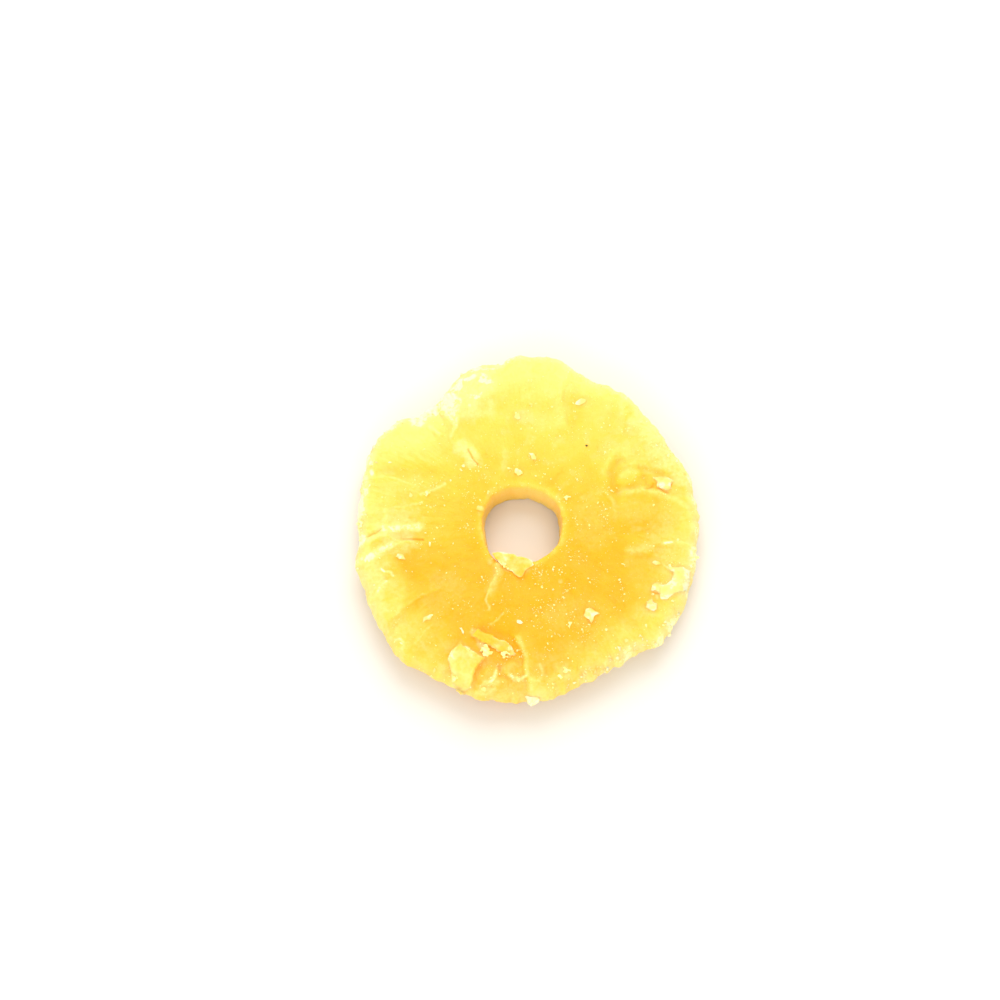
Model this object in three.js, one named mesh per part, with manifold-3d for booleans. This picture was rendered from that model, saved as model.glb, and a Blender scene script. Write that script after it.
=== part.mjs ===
// A candied pineapple ring, lying on its back: a thick cut slice with a lobed rim, a cored
// hole, folds between the lobes, a torn crag at its near edge, and sugar flakes stuck to it.
//
// Millimetres. +Z is up and is the ring's axis, +Y points to the smooth top lobe and +X to
// the right of someone who looks down at the cut face with the top lobe away from them.
// The origin is the middle of the ring's footprint, on the surface that it lies on.

import * as THREE from "three";
import { mergeVertices } from "three/addons/utils/BufferGeometryUtils.js";
import Module from "manifold-3d";

const wasm = await Module();
wasm.setup();

// ---------------------------------------------------------------- driving dimensions

const THICKNESS = 8.9; // cut face above the table, at its middle
const DISH = 0.7; // how far the face rises from the hole to the lobes
const FOOT_LIFT = 1.5; // how far the underside curls up at the hole and at the rim
const RIM_ROUND_TOP = 4.2; // radial reach of the rim's rounding, cut side
const RIM_ROUND_BASE = 4.8; // and on the underside
const RIM_WAIST = 0.44; // height of the rim's widest line, as a share of the thickness
const HOLE_ROUND = 1.9; // rounding of the hole's edge
const HOLE_TAPER = 0.06; // how much narrower the hole is at the underside, as a share
const HOLE_CENTRE = [-1.2, -1.6];
const MIDDLE = [0.0, -0.6]; // middle of the footprint, in the coordinates of the tables below

// The cut edge by angle from +X: degrees and radius, at the crest of each lobe and in each fold.
const RIM = [
  [2, 35.1], [11, 34.6], [19, 34.7], [26, 33.8], [31, 33.5], [43, 33.9],
  [54, 34.9], [60, 34.6], [66, 33.8], [73, 35.1], [82, 36.5], [92, 36.7], [96, 36.3], [99, 35.4],
  [109, 35.9], [117, 34.5], [127, 32.1], [136, 32.9], [141, 35.0], [148, 36.5],
  [156, 36.3], [163, 35.7], [176, 35.0], [188, 35.0], [195, 36.3], [206, 36.5], [216, 37.3],
  [229, 38.7], [236, 38.0], [242, 37.6], [253, 38.1], [260, 37.6], [268, 37.1], [278, 36.4], [288, 34.8],
  [299, 34.4], [310, 35.3], [316, 36.8], [322, 36.1], [329, 36.3], [338, 35.7], [349, 35.0],
];

// The cored hole's edge about its own centre, in the same way.
const CORE = [
  [13, 8.3], [36, 8.6], [66, 8.8], [91, 9.0], [112, 9.3], [135, 9.3], [165, 8.5],
  [199, 8.1], [226, 8.7], [255, 8.3], [277, 7.6], [303, 7.5], [328, 7.8], [346, 8.0],
];

// Folds and cracks in the cut face: depth, half width, then the points of the line.
const GROOVES = [
  { depth: 0.35, width: 1.0, line: [[-20.0, 25.4], [-17.9, 21.7], [-16.4, 19.6], [-16.5, 17.0]] },
  { depth: 0.6, width: 2.4, line: [[-3.7, 26.7], [-6.4, 24.0], [-9.1, 22.3], [-11.9, 20.1],
    [-14.2, 18.3], [-16.6, 15.4]] },
  { depth: 0.5, width: 0.6, line: [[-12.3, 14.8], [-11.4, 13.3], [-10.4, 11.8]] },
  { depth: 0.3, width: 1.0, line: [[-31.5, 10.2], [-25.3, 9.6], [-19.2, 9.8]] },
  { depth: 0.6, width: 0.6, line: [[-34.4, -4.4], [-32.7, -3.6], [-31.1, -2.8], [-29.7, -2.1]] },
  { depth: 0.4, width: 1.5, line: [[-26.4, 0.6], [-22.4, 0.8]] },
  { depth: 0.3, width: 1.0, line: [[-26.8, -3.6], [-21.5, -3.5]] },
  { depth: 0.4, width: 0.9, line: [[-31.2, -5.9], [-29.5, -5.1], [-28.0, -4.9]] },
  { depth: 0.3, width: 0.9, line: [[-22.6, -18.4], [-19.0, -16.9], [-17.4, -15.6]] },
  { depth: 0.5, width: 0.8, line: [[-14.0, -25.2], [-15.7, -26.6], [-17.4, -28.9], [-17.0, -30.9],
    [-16.9, -33.0]] },
  { depth: 0.7, width: 1.3, line: [[-9.0, -22.9], [-7.0, -23.5], [-4.4, -24.6], [-2.7, -26.0],
    [-1.9, -28.0]] },
  { depth: 0.7, width: 1.1, line: [[-9.0, -30.0], [-7.2, -30.1], [-5.8, -30.9]] },
  { depth: 0.6, width: 0.8, line: [[-9.7, -31.3], [-10.4, -33.0], [-10.7, -35.0]] },
  { depth: 0.5, width: 1.2, line: [[18.4, 12.4], [17.3, 9.8], [17.2, 7.2], [17.9, 5.9]] },
  { depth: 0.35, width: 0.7, line: [[22.0, 10.7], [24.1, 9.9], [25.7, 9.1], [28.2, 9.0]] },
  { depth: 0.2, width: 0.8, line: [[21.0, -8.3], [24.4, -8.3], [27.0, -7.2]] },
  { depth: 0.5, width: 1.6, line: [[11.6, -26.0], [13.6, -30.0], [15.6, -33.0]] },
  { depth: 0.6, width: 1.2, line: [[21.5, -22.0], [25.8, -26.8]] },
  { depth: 0.25, width: 1.6, line: [[9.3, 28.4], [8.9, 24.6], [9.2, 20.4]] },
  { depth: 0.3, width: 0.8, line: [[4.6, 7.4], [6.4, 9.6]] },
];

// Edges where one lobe or layer stands above the next: height, softness, how far the raised
// side takes to die away, then the line, with the raised side on the left of someone walking it.
const STEPS = [
  { height: 0.3, soft: 0.5, reach: 5, line: [[7.8, 20.4], [7.1, 23.5], [7.2, 27.4], [8.1, 30.0],
    [9.6, 33.6]] },
  { height: 0.25, soft: 0.8, reach: 6, line: [[-29.6, -21.7], [-26.8, -20.9], [-24.6, -18.4],
    [-24.5, -15.6], [-24.9, -13.6], [-26.0, -11.6], [-27.3, -8.8]] },
  { height: 0.4, soft: 0.4, reach: 2.5, line: [[-6.8, -9.4], [-6.6, -11.3], [-7.8, -13.2],
    [-8.2, -14.6], [-8.2, -16.0]] },
  { height: 0.7, soft: 0.4, reach: 5, line: [[-2.7, -25.0], [-1.9, -27.1], [-1.1, -29.3],
    [-1.0, -31.5], [-0.4, -34.6], [0.3, -37.8]] },
  { height: 0.2, soft: 0.6, reach: 4, line: [[19.8, -7.2], [23.8, -7.5], [25.3, -7.1], [26.2, -6.1],
    [29.0, -5.9], [34.0, -6.0]] },
  { height: 0.3, soft: 0.8, reach: 7, line: [[34.4, -2.0], [33.4, 0.6], [32.5, 2.1], [30.3, 4.4],
    [26.8, 5.8], [23.4, 6.5], [19.0, 5.8]] },
  { height: 0.35, soft: 0.5, reach: 4, line: [[17.6, 6.0], [16.9, 7.6], [16.8, 10.2], [17.9, 12.6],
    [20.0, 13.4]] },
  { height: 0.3, soft: 0.5, reach: 5, line: [[-29.0, 3.4], [-25.6, 3.2], [-21.4, 3.8]] },
];

// Swellings and hollows of the cut face: height, middle, half sizes, turn, edge softness.
const PATCHES = [
  { height: -0.6, at: [-5.6, -30.2], half: [5.2, 3.8], turn: -18, edge: 0.5 },
  { height: -0.6, at: [22.8, 8.8], half: [4.8, 2.4], turn: 8, edge: 0.7 },
  { height: 0.4, at: [20.5, 8.9], half: [2.3, 1.5], turn: 20, edge: 0.9 },
  { height: 0.5, at: [-13.8, 27.6], half: [6.0, 4.4], turn: 35, edge: 0.5 },
  { height: 0.4, at: [-12.5, 15.4], half: [2.8, 1.7], turn: -38, edge: 0.9 },
  { height: 0.2, at: [16.8, -23.6], half: [7.4, 2.6], turn: -55, edge: 0.9 },
  { height: 0.3, at: [-24.0, 13.6], half: [9.0, 3.4], turn: -14, edge: 0.9 },
  { height: -0.3, at: [-14.0, -6.0], half: [6.5, 8.0], turn: 0, edge: 0.9 },
  { height: 0.3, at: [0.5, 30.5], half: [5.5, 5.5], turn: 0, edge: 0.9 },
];

// Torn flakes that stand on the face: how far the top stands above it, thickness, how far the
// high edge is tipped up and the direction that this edge faces, and the outline. A flake that
// hangs on the rim's side has the height of its top above the table instead.
const FLAKES = [
  { name: "crag plate", rise: 0.6, thick: 1.5, tip: 4, facing: 60, outline: [[-15.4, -27.4],
    [-14.1, -26.8], [-13.5, -25.9], [-12.9, -26.9], [-10.9, -27.9], [-8.6, -29.1], [-9.7, -30.4],
    [-10.6, -31.6], [-11.1, -34.3], [-12.7, -35.3], [-15.0, -34.0], [-15.5, -32.4], [-16.1, -29.6]] },
  { name: "crag strip", rise: 0.7, thick: 1.7, tip: 5, facing: 100, outline: [[-10.0, -23.0],
    [-9.4, -23.6], [-6.0, -25.4], [-4.6, -25.7], [-3.1, -27.1], [-2.5, -28.4], [-3.9, -28.8],
    [-6.5, -27.6], [-9.1, -26.2], [-11.3, -24.5]] },
  { name: "crag dome", rise: 0.5, thick: 1.5, tip: 6, facing: 100, outline: [[-5.0, -31.4],
    [-4.2, -30.2], [-2.3, -30.0], [-1.4, -31.2], [-1.6, -32.6], [-3.7, -33.0]] },
  { name: "crag side", rise: 0.5, thick: 1.5, tip: 6, facing: 0, outline: [[-6.2, -31.2],
    [-6.2, -33.2], [-7.0, -34.6], [-9.0, -34.2], [-8.6, -32.6], [-7.2, -31.4]] },
  { name: "crag foot", rise: 0.4, thick: 1.5, tip: 0, facing: 90, outline: [[-10.3, -35.4],
    [-8.0, -35.4], [-6.6, -34.8], [-6.8, -35.8], [-8.4, -36.4], [-10.1, -36.2]] },
  { name: "frosted tongue", rise: 0.5, thick: 1.6, tip: 0, facing: 90, outline: [[-18.8, 24.4],
    [-18.3, 22.8], [-16.2, 20.6], [-15.5, 19.8], [-16.0, 17.4], [-15.1, 18.6], [-14.0, 21.2],
    [-14.4, 22.7], [-13.0, 26.0], [-16.4, 28.0]] },
  { name: "pocket flap", rise: 0.6, thick: 1.4, tip: 6, facing: 300, outline: [[25.4, 8.7],
    [26.4, 7.6], [26.2, 6.5], [27.2, 6.1], [28.6, 5.7], [29.2, 7.2], [29.7, 7.8], [28.8, 8.7],
    [27.2, 8.9]] },
  { name: "core chip", rise: 0.8, thick: 1.5, tip: 4, facing: 60, outline: [[-7.3, -7.5],
    [-6.1, -7.2], [-4.3, -7.6], [-2.3, -8.3], [0.6, -9.0], [0.8, -10.3], [-0.2, -10.9],
    [-1.3, -12.2], [-2.7, -11.9], [-4.0, -10.7], [-6.3, -9.0]] },
  { name: "right plate", rise: 0.35, thick: 1.4, tip: 3, facing: 120, outline: [[27.3, -9.9],
    [29.3, -10.5], [31.2, -10.2], [32.3, -13.2], [31.8, -14.8], [29.8, -15.8], [27.8, -17.1],
    [26.4, -17.1], [26.3, -15.8], [27.2, -13.9], [28.8, -13.2], [29.1, -11.6]] },
  { name: "right flake", rise: 0.35, thick: 1.2, tip: 5, facing: 160, outline: [[24.9, -14.0],
    [25.5, -13.4], [27.2, -13.9], [26.7, -15.5], [25.5, -15.2], [24.7, -15.3]] },
  { name: "right chip", rise: 0.4, thick: 1.2, tip: 5, facing: 160, outline: [[23.4, -18.4],
    [24.7, -16.8], [25.8, -18.0], [25.8, -19.0], [25.1, -19.5], [23.6, -19.0]] },
  { name: "foot scrap", level: 6.4, thick: 2.2, tip: 0, facing: 90, outline: [[-0.6, -35.9],
    [0.3, -35.4], [2.1, -35.9], [2.2, -37.1], [1.0, -37.5], [0.4, -37.9], [-0.2, -37.3]] },
];

// Loose sugar flakes that lie on the face: thickness and outline.
const LOOSE_FLAKES = [
  { thick: 1.0, outline: [[11.1, -20.3], [11.6, -18.9], [12.2, -18.7], [13.7, -20.2], [12.9, -21.8],
    [12.3, -21.7]] },
  { thick: 0.7, outline: [[0.0, 14.4], [1.0, 14.4], [1.7, 13.4], [1.6, 12.7], [0.8, 12.8]] },
  { thick: 0.6, outline: [[9.7, 24.8], [10.1, 25.5], [11.0, 26.0], [12.0, 25.8], [11.8, 25.2],
    [10.6, 24.6]] },
  { thick: 0.8, outline: [[-27.0, -8.2], [-26.5, -7.6], [-25.4, -7.8], [-24.9, -8.9], [-26.2, -8.8]] },
  { thick: 0.8, outline: [[-21.3, -22.0], [-21.0, -21.0], [-20.0, -20.3], [-19.3, -20.5], [-20.6, -21.5]] },
  { thick: 0.7, outline: [[-3.1, 21.9], [-2.6, 22.9], [-1.9, 22.8], [-1.8, 21.7], [-2.4, 21.4]] },
  { thick: 0.7, outline: [[25.0, -9.3], [25.6, -8.9], [26.4, -9.1], [26.7, -9.6], [25.8, -9.9]] },
  { thick: 0.9, outline: [[-14.0, -22.9], [-13.3, -22.8], [-12.8, -23.9], [-13.0, -24.5], [-13.6, -23.8]] },
];

// Larger sugar lumps on the face: middle, length and width, turn and thickness.
const LARGE_SUGAR = [
  { at: [-8.4, -27.6], size: [2.2, 2.0], turn: -20, thick: 1.6 },
  { at: [-4.2, -28.2], size: [1.8, 1.6], turn: 10, thick: 1.2 },
  { at: [-9.9, 2.4], size: [1.7, 1.5], turn: 30, thick: 1.3 },
  { at: [-8.6, 5.9], size: [1.2, 1.0], turn: 45, thick: 0.9 },
  { at: [8.0, 4.5], size: [1.3, 1.1], turn: -30, thick: 0.9 },
  { at: [-1.8, 10.4], size: [2.0, 1.5], turn: 0, thick: 0.9 },
  { at: [8.2, -22.3], size: [1.6, 1.5], turn: 10, thick: 0.8 },
  { at: [7.5, -31.7], size: [1.8, 1.5], turn: 25, thick: 0.8 },
  { at: [-21.0, 5.3], size: [1.6, 1.0], turn: 30, thick: 0.8 },
  { at: [19.6, -25.6], size: [1.0, 0.9], turn: 0, thick: 0.7 },
  { at: [19.1, -9.9], size: [1.2, 1.0], turn: 60, thick: 0.7 },
  { at: [28.4, -10.0], size: [1.3, 1.0], turn: 0, thick: 0.9 },
];

// Sugar lumps on the rim's side: angle, height as a share of the rim's rounding, and size.
const RIM_SUGAR = [
  { angle: 182, high: 0.45, size: 2.2 },
  { angle: 186.5, high: 0.3, size: 1.5 },
  { angle: 347.5, high: 0.4, size: 1.7 },
  { angle: 127, high: 0.6, size: 1.6 },
];
const SMALL_SUGAR = 44; // seeded grains on the cut face
const SMALL_SUGAR_SIZE = [0.8, 1.5];

// ---------------------------------------------------------------- mesh density

const AROUND = 128;
const SPANS = { back: 5, rimLow: 3, rimHigh: 4, front: 14, holeHigh: 2, wall: 2, holeLow: 1 };

// ---------------------------------------------------------------- plain maths

const radians = (degrees) => (degrees * Math.PI) / 180;
const mix = (a, b, t) => a + (b - a) * t;
const clamp01 = (t) => Math.min(1, Math.max(0, t));
const ease = (t) => clamp01(t) ** 2 * (3 - 2 * clamp01(t));

// The same seeded draw for the same number, from 0 to 1.
function draw(n) {
  const x = Math.sin(n * 12.9898 + 78.233) * 43758.5453;
  return x - Math.floor(x);
}

// Smooth noise from -1 to 1, with hills about one unit wide.
function noise(x, y, seed) {
  const cell = (i, j) => 2 * draw(i * 1.37 + j * 57.31 + seed * 7.77) - 1;
  const i = Math.floor(x);
  const j = Math.floor(y);
  const u = ease(x - i);
  const v = ease(y - j);
  return mix(mix(cell(i, j), cell(i + 1, j), u), mix(cell(i, j + 1), cell(i + 1, j + 1), u), v);
}

// A closed outline given as angle and radius pairs, read at any angle.
function radiusAt(outline, degrees) {
  const n = outline.length;
  const wrapped = ((degrees % 360) + 360) % 360;
  let next = outline.findIndex(([angle]) => angle > wrapped);
  if (next < 0) next = 0;
  const pick = (k) => outline[(next + k + 2 * n) % n];
  const [before, start, end, after] = [pick(-2), pick(-1), pick(0), pick(1)];
  const span = (end[0] - start[0] + 360) % 360;
  const t = ((wrapped - start[0] + 360) % 360) / span;
  const startSlope = ((end[1] - before[1]) / ((end[0] - before[0] + 360) % 360)) * span;
  const endSlope = ((after[1] - start[1]) / ((after[0] - start[0] + 360) % 360)) * span;
  return (
    (2 * t ** 3 - 3 * t ** 2 + 1) * start[1] +
    (t ** 3 - 2 * t ** 2 + t) * startSlope +
    (3 * t ** 2 - 2 * t ** 3) * end[1] +
    (t ** 3 - t ** 2) * endSlope
  );
}

// How far a point lies from a line of points, on which side, and how far past its ends.
function nearLine(x, y, line) {
  let best = { distance: Infinity, side: 1, past: 0 };
  for (let k = 0; k + 1 < line.length; k++) {
    const [ax, ay] = line[k];
    const [bx, by] = line[k + 1];
    const length = Math.hypot(bx - ax, by - ay);
    const [dx, dy] = [(bx - ax) / length, (by - ay) / length];
    const along = (x - ax) * dx + (y - ay) * dy;
    const held = Math.min(length, Math.max(0, along));
    const distance = Math.hypot(x - ax - dx * held, y - ay - dy * held);
    if (distance >= best.distance) continue;
    const outside = (k === 0 && along < 0) || (k + 2 === line.length && along > length);
    best = {
      distance,
      side: Math.sign(dx * (y - ay) - dy * (x - ax)) || 1,
      past: outside ? Math.abs(along - held) : 0,
    };
  }
  return best;
}

// ---------------------------------------------------------------- the cut face and underside

const hill = (distance, width) => Math.exp(-((distance / width) ** 2));

function grooveHeight(x, y, { depth, width, line }) {
  return -depth * hill(nearLine(x, y, line).distance, width);
}

function stepHeight(x, y, { height, soft, reach, line }) {
  const near = nearLine(x, y, line);
  const raised = ease(0.5 + (near.side * near.distance) / (2 * soft));
  return height * raised * hill(near.distance, reach) * hill(near.past, 1.5);
}

function patchHeight(x, y, { height, at, half, turn, edge }) {
  const [c, s] = [Math.cos(radians(turn)), Math.sin(radians(turn))];
  const [dx, dy] = [x - at[0], y - at[1]];
  const out = Math.hypot((dx * c + dy * s) / half[0], (dy * c - dx * s) / half[1]);
  const ragged = 0.18 * noise(x * 0.6, y * 0.6, 5);
  return height * ease((1 + edge / 2 - out - ragged) / edge);
}

function frontHeight(x, y) {
  const far = Math.hypot(x, y) / 35;
  let z = THICKNESS - DISH / 2 + DISH * ease(far * 1.25 - 0.25);
  z += 0.32 * noise(x / 9, y / 9, 1) + 0.14 * noise(x / 3.6, y / 3.6, 2);
  for (const groove of GROOVES) z += grooveHeight(x, y, groove);
  for (const step of STEPS) z += stepHeight(x, y, step);
  for (const patch of PATCHES) z += patchHeight(x, y, patch);
  return z;
}

// The underside is pressed flat where it rests, and curls up towards the hole and the rim.
function backHeight(x, y, share) {
  const curl = FOOT_LIFT * (Math.max(0, share - 0.68) / 0.32 + Math.max(0, 0.22 - share) / 0.5);
  const uneven = 0.5 * noise(x / 7, y / 7, 3) + 0.2 * noise(x / 2.8, y / 2.8, 4);
  return Math.max(0, curl + uneven - 0.35);
}

// ---------------------------------------------------------------- the ring's skin

// A rounded corner from one side to the other: t runs from 0 to 1.
const corner = (t) => [Math.sin((t * Math.PI) / 2) ** 0.9, 1 - Math.cos((t * Math.PI) / 2) ** 0.9];

// The ring's section for one stretch: t to the share of the way from hole to rim, and of the
// way from the underside to the cut face. Width is the flesh's width there.
const SECTION = {
  back: (t, width) => [mix(0.8 / width, 1 - RIM_ROUND_BASE / width, t), 0],
  rimLow: (t, width) => {
    const [out, up] = corner(t);
    return [1 + (RIM_ROUND_BASE / width) * (out - 1), RIM_WAIST * up];
  },
  rimHigh: (t, width) => {
    const [down, back] = corner(1 - t);
    return [1 + (RIM_ROUND_TOP / width) * (down - 1), 1 - (1 - RIM_WAIST) * back];
  },
  front: (t, width) => [mix(1 - RIM_ROUND_TOP / width, HOLE_ROUND / width, t), 1],
  holeHigh: (t, width) => {
    const [out, down] = corner(t);
    return [(HOLE_ROUND / width) * (1 - out), 1 - 0.14 * down];
  },
  wall: (t) => [0, mix(0.86, 0.1, t)],
  holeLow: (t, width) => {
    const [down, out] = corner(t);
    return [(0.8 / width) * out, 0.1 * (1 - down)];
  },
};

// A point of the skin at an angle, t along one stretch of the section.
function skin(degrees, stretch, t) {
  const [c, s] = [Math.cos(radians(degrees)), Math.sin(radians(degrees))];
  const flute = 0.22 * noise(c * 9 + 20, s * 9 + 20, 6);
  const rim = radiusAt(RIM, degrees) + flute;
  const core = radiusAt(CORE, degrees);
  const width = rim - core;
  const [share, high] = SECTION[stretch](t, width);
  const hole = core * (1 - HOLE_TAPER * (1 - high)) + 0.25 * noise(degrees / 20, high * 3, 8) * (1 - high);
  const x = mix(HOLE_CENTRE[0] + hole * c, rim * c, share);
  const y = mix(HOLE_CENTRE[1] + hole * s, rim * s, share);
  return new THREE.Vector3(x, y, mix(backHeight(x, y, share), frontHeight(x, y), high));
}

function skinGeometry() {
  const positions = [];
  const triangles = [];
  const stations = Object.entries(SPANS).flatMap(([stretch, spans]) =>
    Array.from({ length: spans }, (_, k) => [stretch, k / spans]),
  );
  const ring = stations.length;
  for (let i = 0; i < AROUND; i++) {
    for (const [stretch, t] of stations) {
      positions.push(...skin((360 * i) / AROUND, stretch, t).toArray());
    }
  }
  for (let i = 0; i < AROUND; i++) {
    for (let k = 0; k < ring; k++) {
      const next = (i + 1) % AROUND;
      const [a, b] = [i * ring + k, i * ring + ((k + 1) % ring)];
      const [c, d] = [next * ring + ((k + 1) % ring), next * ring + k];
      triangles.push(a, d, c, a, c, b);
    }
  }
  return new THREE.BufferGeometry()
    .setAttribute("position", new THREE.Float32BufferAttribute(positions, 3))
    .setIndex(triangles);
}

// ---------------------------------------------------------------- flakes and sugar

// A thin plate cut to an outline, with its middle at the origin.
function plateGeometry(outline, middle, thick) {
  const corners = outline.map(([x, y]) => new THREE.Vector2(x - middle[0], y - middle[1]));
  const plate = new THREE.ExtrudeGeometry(new THREE.Shape(corners), { depth: thick, bevelEnabled: false });
  return plate.translate(0, 0, -thick / 2);
}

function middleOf(outline) {
  return [0, 1].map((axis) => outline.reduce((sum, point) => sum + point[axis], 0) / outline.length);
}

// A rough sugar lump; the larger ones have more facets.
function lumpGeometry([length, width], thick, seed) {
  const lump = mergeVertices(bare(new THREE.OctahedronGeometry(1, length > 1.55 ? 1 : 0)), 1e-4);
  const at = lump.getAttribute("position");
  for (let k = 0; k < at.count; k++) {
    const grown = 0.85 + 0.3 * draw(seed * 17 + k);
    at.setXYZ(k, at.getX(k) * grown, at.getY(k) * grown, at.getZ(k) * grown);
  }
  return lump.rotateZ(draw(seed) * 6).scale(length / 2, width / 2, thick / 2);
}

// The height of the cut face straight below a point, on the faceted skin itself.
const bareSkin = new THREE.Mesh(skinGeometry());
const plumb = new THREE.Raycaster();
function faceHeight(x, y) {
  plumb.set(new THREE.Vector3(x, y, 5 * THICKNESS), new THREE.Vector3(0, 0, -1));
  return plumb.intersectObject(bareSkin)[0].point.z;
}

// Turns, tips and sets a piece down with its middle at a height above the table.
function placedAt(geometry, [x, y], z, { turn = 0, tip = 0, facing = 0 }) {
  const tipAxis = new THREE.Vector3(Math.sin(radians(facing)), -Math.cos(radians(facing)), 0);
  const placed = new THREE.Matrix4()
    .makeTranslation(x, y, z)
    .multiply(new THREE.Matrix4().makeRotationAxis(tipAxis, -radians(tip)))
    .multiply(new THREE.Matrix4().makeRotationZ(radians(turn)));
  return geometry.applyMatrix4(placed);
}

function bare(geometry) {
  geometry.deleteAttribute("normal");
  geometry.deleteAttribute("uv");
  return geometry;
}

function toSolid(geometry) {
  const merged = mergeVertices(bare(geometry), 1e-4);
  return new wasm.Manifold(
    new wasm.Mesh({
      numProp: 3,
      vertProperties: new Float32Array(merged.getAttribute("position").array),
      triVerts: new Uint32Array(merged.index.array),
    }),
  );
}

function toGeometry(solid) {
  const { vertProperties, triVerts, numProp, numVert } = solid.getMesh();
  const positions = new Float32Array(numVert * 3);
  for (let k = 0; k < numVert; k++) {
    positions.set(vertProperties.subarray(k * numProp, k * numProp + 3), k * 3);
  }
  return new THREE.BufferGeometry()
    .setAttribute("position", new THREE.BufferAttribute(positions, 3))
    .setIndex(new THREE.BufferAttribute(new Uint32Array(triVerts), 1));
}

function tornFlakes() {
  return FLAKES.map((flake) => {
    const middle = middleOf(flake.outline);
    const top = flake.level ?? faceHeight(...middle) + flake.rise;
    return placedAt(plateGeometry(flake.outline, middle, flake.thick), middle, top - flake.thick / 2, flake);
  });
}

function looseFlakes() {
  return LOOSE_FLAKES.map(({ outline, thick }) => {
    const middle = middleOf(outline);
    return placedAt(plateGeometry(outline, middle, thick), middle, faceHeight(...middle), {});
  });
}

function largeSugar() {
  return LARGE_SUGAR.map((lump, k) =>
    placedAt(lumpGeometry(lump.size, lump.thick, k + 40), lump.at, faceHeight(...lump.at), lump),
  );
}

function rimSugar() {
  return RIM_SUGAR.map(({ angle, high, size }, k) => {
    const at = skin(angle, "rimHigh", high);
    return lumpGeometry([size, size * 0.8], size * 0.8, k + 70).translate(...at.toArray());
  });
}

function smallSugar() {
  return Array.from({ length: SMALL_SUGAR }, (_, k) => {
    const angle = k * 137.5 + 25 * draw(k + 200);
    const t = 0.06 + 0.9 * draw(k + 300);
    const { x, y } = skin(angle, "front", t);
    const size = mix(...SMALL_SUGAR_SIZE, draw(k + 400));
    const lump = lumpGeometry([size, size * 0.7], size * 0.6, k + 100);
    return placedAt(lump, [x, y], faceHeight(x, y), { turn: 360 * draw(k + 500) });
  });
}

// The flesh with everything that is stuck to it, as one closed solid.
function ringSolid() {
  let ring = toSolid(bareSkin.geometry);
  for (const piece of [...tornFlakes(), ...looseFlakes(), ...largeSugar(), ...rimSugar(), ...smallSugar()]) {
    ring = ring.add(toSolid(piece));
  }
  return ring;
}

// ---------------------------------------------------------------- the part

const flesh = new THREE.MeshStandardMaterial({ color: 0xffcf4a, roughness: 0.45, metalness: 0 });
const ring = new THREE.Mesh(toGeometry(ringSolid()).translate(-MIDDLE[0], -MIDDLE[1], 0), flesh);
ring.name = "pineapple_ring";

const part = new THREE.Group();
part.add(ring);
export default part;
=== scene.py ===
"""A candied pineapple ring: its flesh, torn flakes and sugar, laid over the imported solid."""

import math

import bmesh
import bpy
import numpy as np
from bpy.props import FloatProperty, FloatVectorProperty, IntProperty, PointerProperty
from mathutils import Matrix, Vector


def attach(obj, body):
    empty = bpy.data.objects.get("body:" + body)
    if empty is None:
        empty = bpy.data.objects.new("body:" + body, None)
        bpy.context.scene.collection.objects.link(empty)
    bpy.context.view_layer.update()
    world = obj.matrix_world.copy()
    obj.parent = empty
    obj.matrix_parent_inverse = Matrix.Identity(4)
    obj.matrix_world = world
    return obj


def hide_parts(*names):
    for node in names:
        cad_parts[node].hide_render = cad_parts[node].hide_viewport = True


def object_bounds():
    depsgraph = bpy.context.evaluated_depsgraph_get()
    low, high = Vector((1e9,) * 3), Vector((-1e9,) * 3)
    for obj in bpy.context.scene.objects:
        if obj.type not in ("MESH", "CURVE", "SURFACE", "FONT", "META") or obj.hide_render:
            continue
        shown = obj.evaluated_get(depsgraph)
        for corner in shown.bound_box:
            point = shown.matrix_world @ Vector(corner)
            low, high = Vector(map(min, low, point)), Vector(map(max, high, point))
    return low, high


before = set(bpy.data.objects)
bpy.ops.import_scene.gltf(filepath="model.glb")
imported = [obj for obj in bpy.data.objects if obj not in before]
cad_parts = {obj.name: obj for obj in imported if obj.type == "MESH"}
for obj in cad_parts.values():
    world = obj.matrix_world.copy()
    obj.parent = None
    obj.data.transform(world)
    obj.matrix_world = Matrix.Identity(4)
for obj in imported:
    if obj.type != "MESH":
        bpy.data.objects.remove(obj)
CAD_BOX = [list(corner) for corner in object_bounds()]

bl_info = {
    "name": "Candied Pineapple Ring",
    "version": (1, 0, 0),
    "blender": (4, 5, 0),
    "location": "View3D > Sidebar > Pineapple",
    "description": "Builds a sugared slice of candied pineapple and the studio that it lies in",
    "category": "Add Mesh",
}

# ---------------------------------------------------------------- the slice, in millimetres
# The origin is the middle of the ring's footprint, +Z its axis and +Y towards the top lobe.

ACROSS = 74.55  # the ring's longest way across, which all of the sizes below belong to
RADIUS = 35  # half the ring's usual way across
THICKNESS = 8.9  # cut face above the table, at its middle
DISH = 0.7  # how far the face rises from the hole to the lobes
FOOT_LIFT = 1.5  # how far the underside curls up at the hole and at the rim
RIM_ROUND_TOP = 4.2
RIM_ROUND_BASE = 4.8
RIM_WAIST = 0.44  # height of the rim's widest line, as a share of the thickness
HOLE_ROUND = 1.9
HOLE_TAPER = 0.06
HOLE_CENTRE = (-1.2, -1.6)
MIDDLE = (0.0, -0.6, 0.0)  # middle of the footprint, in the coordinates of the tables below

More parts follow.
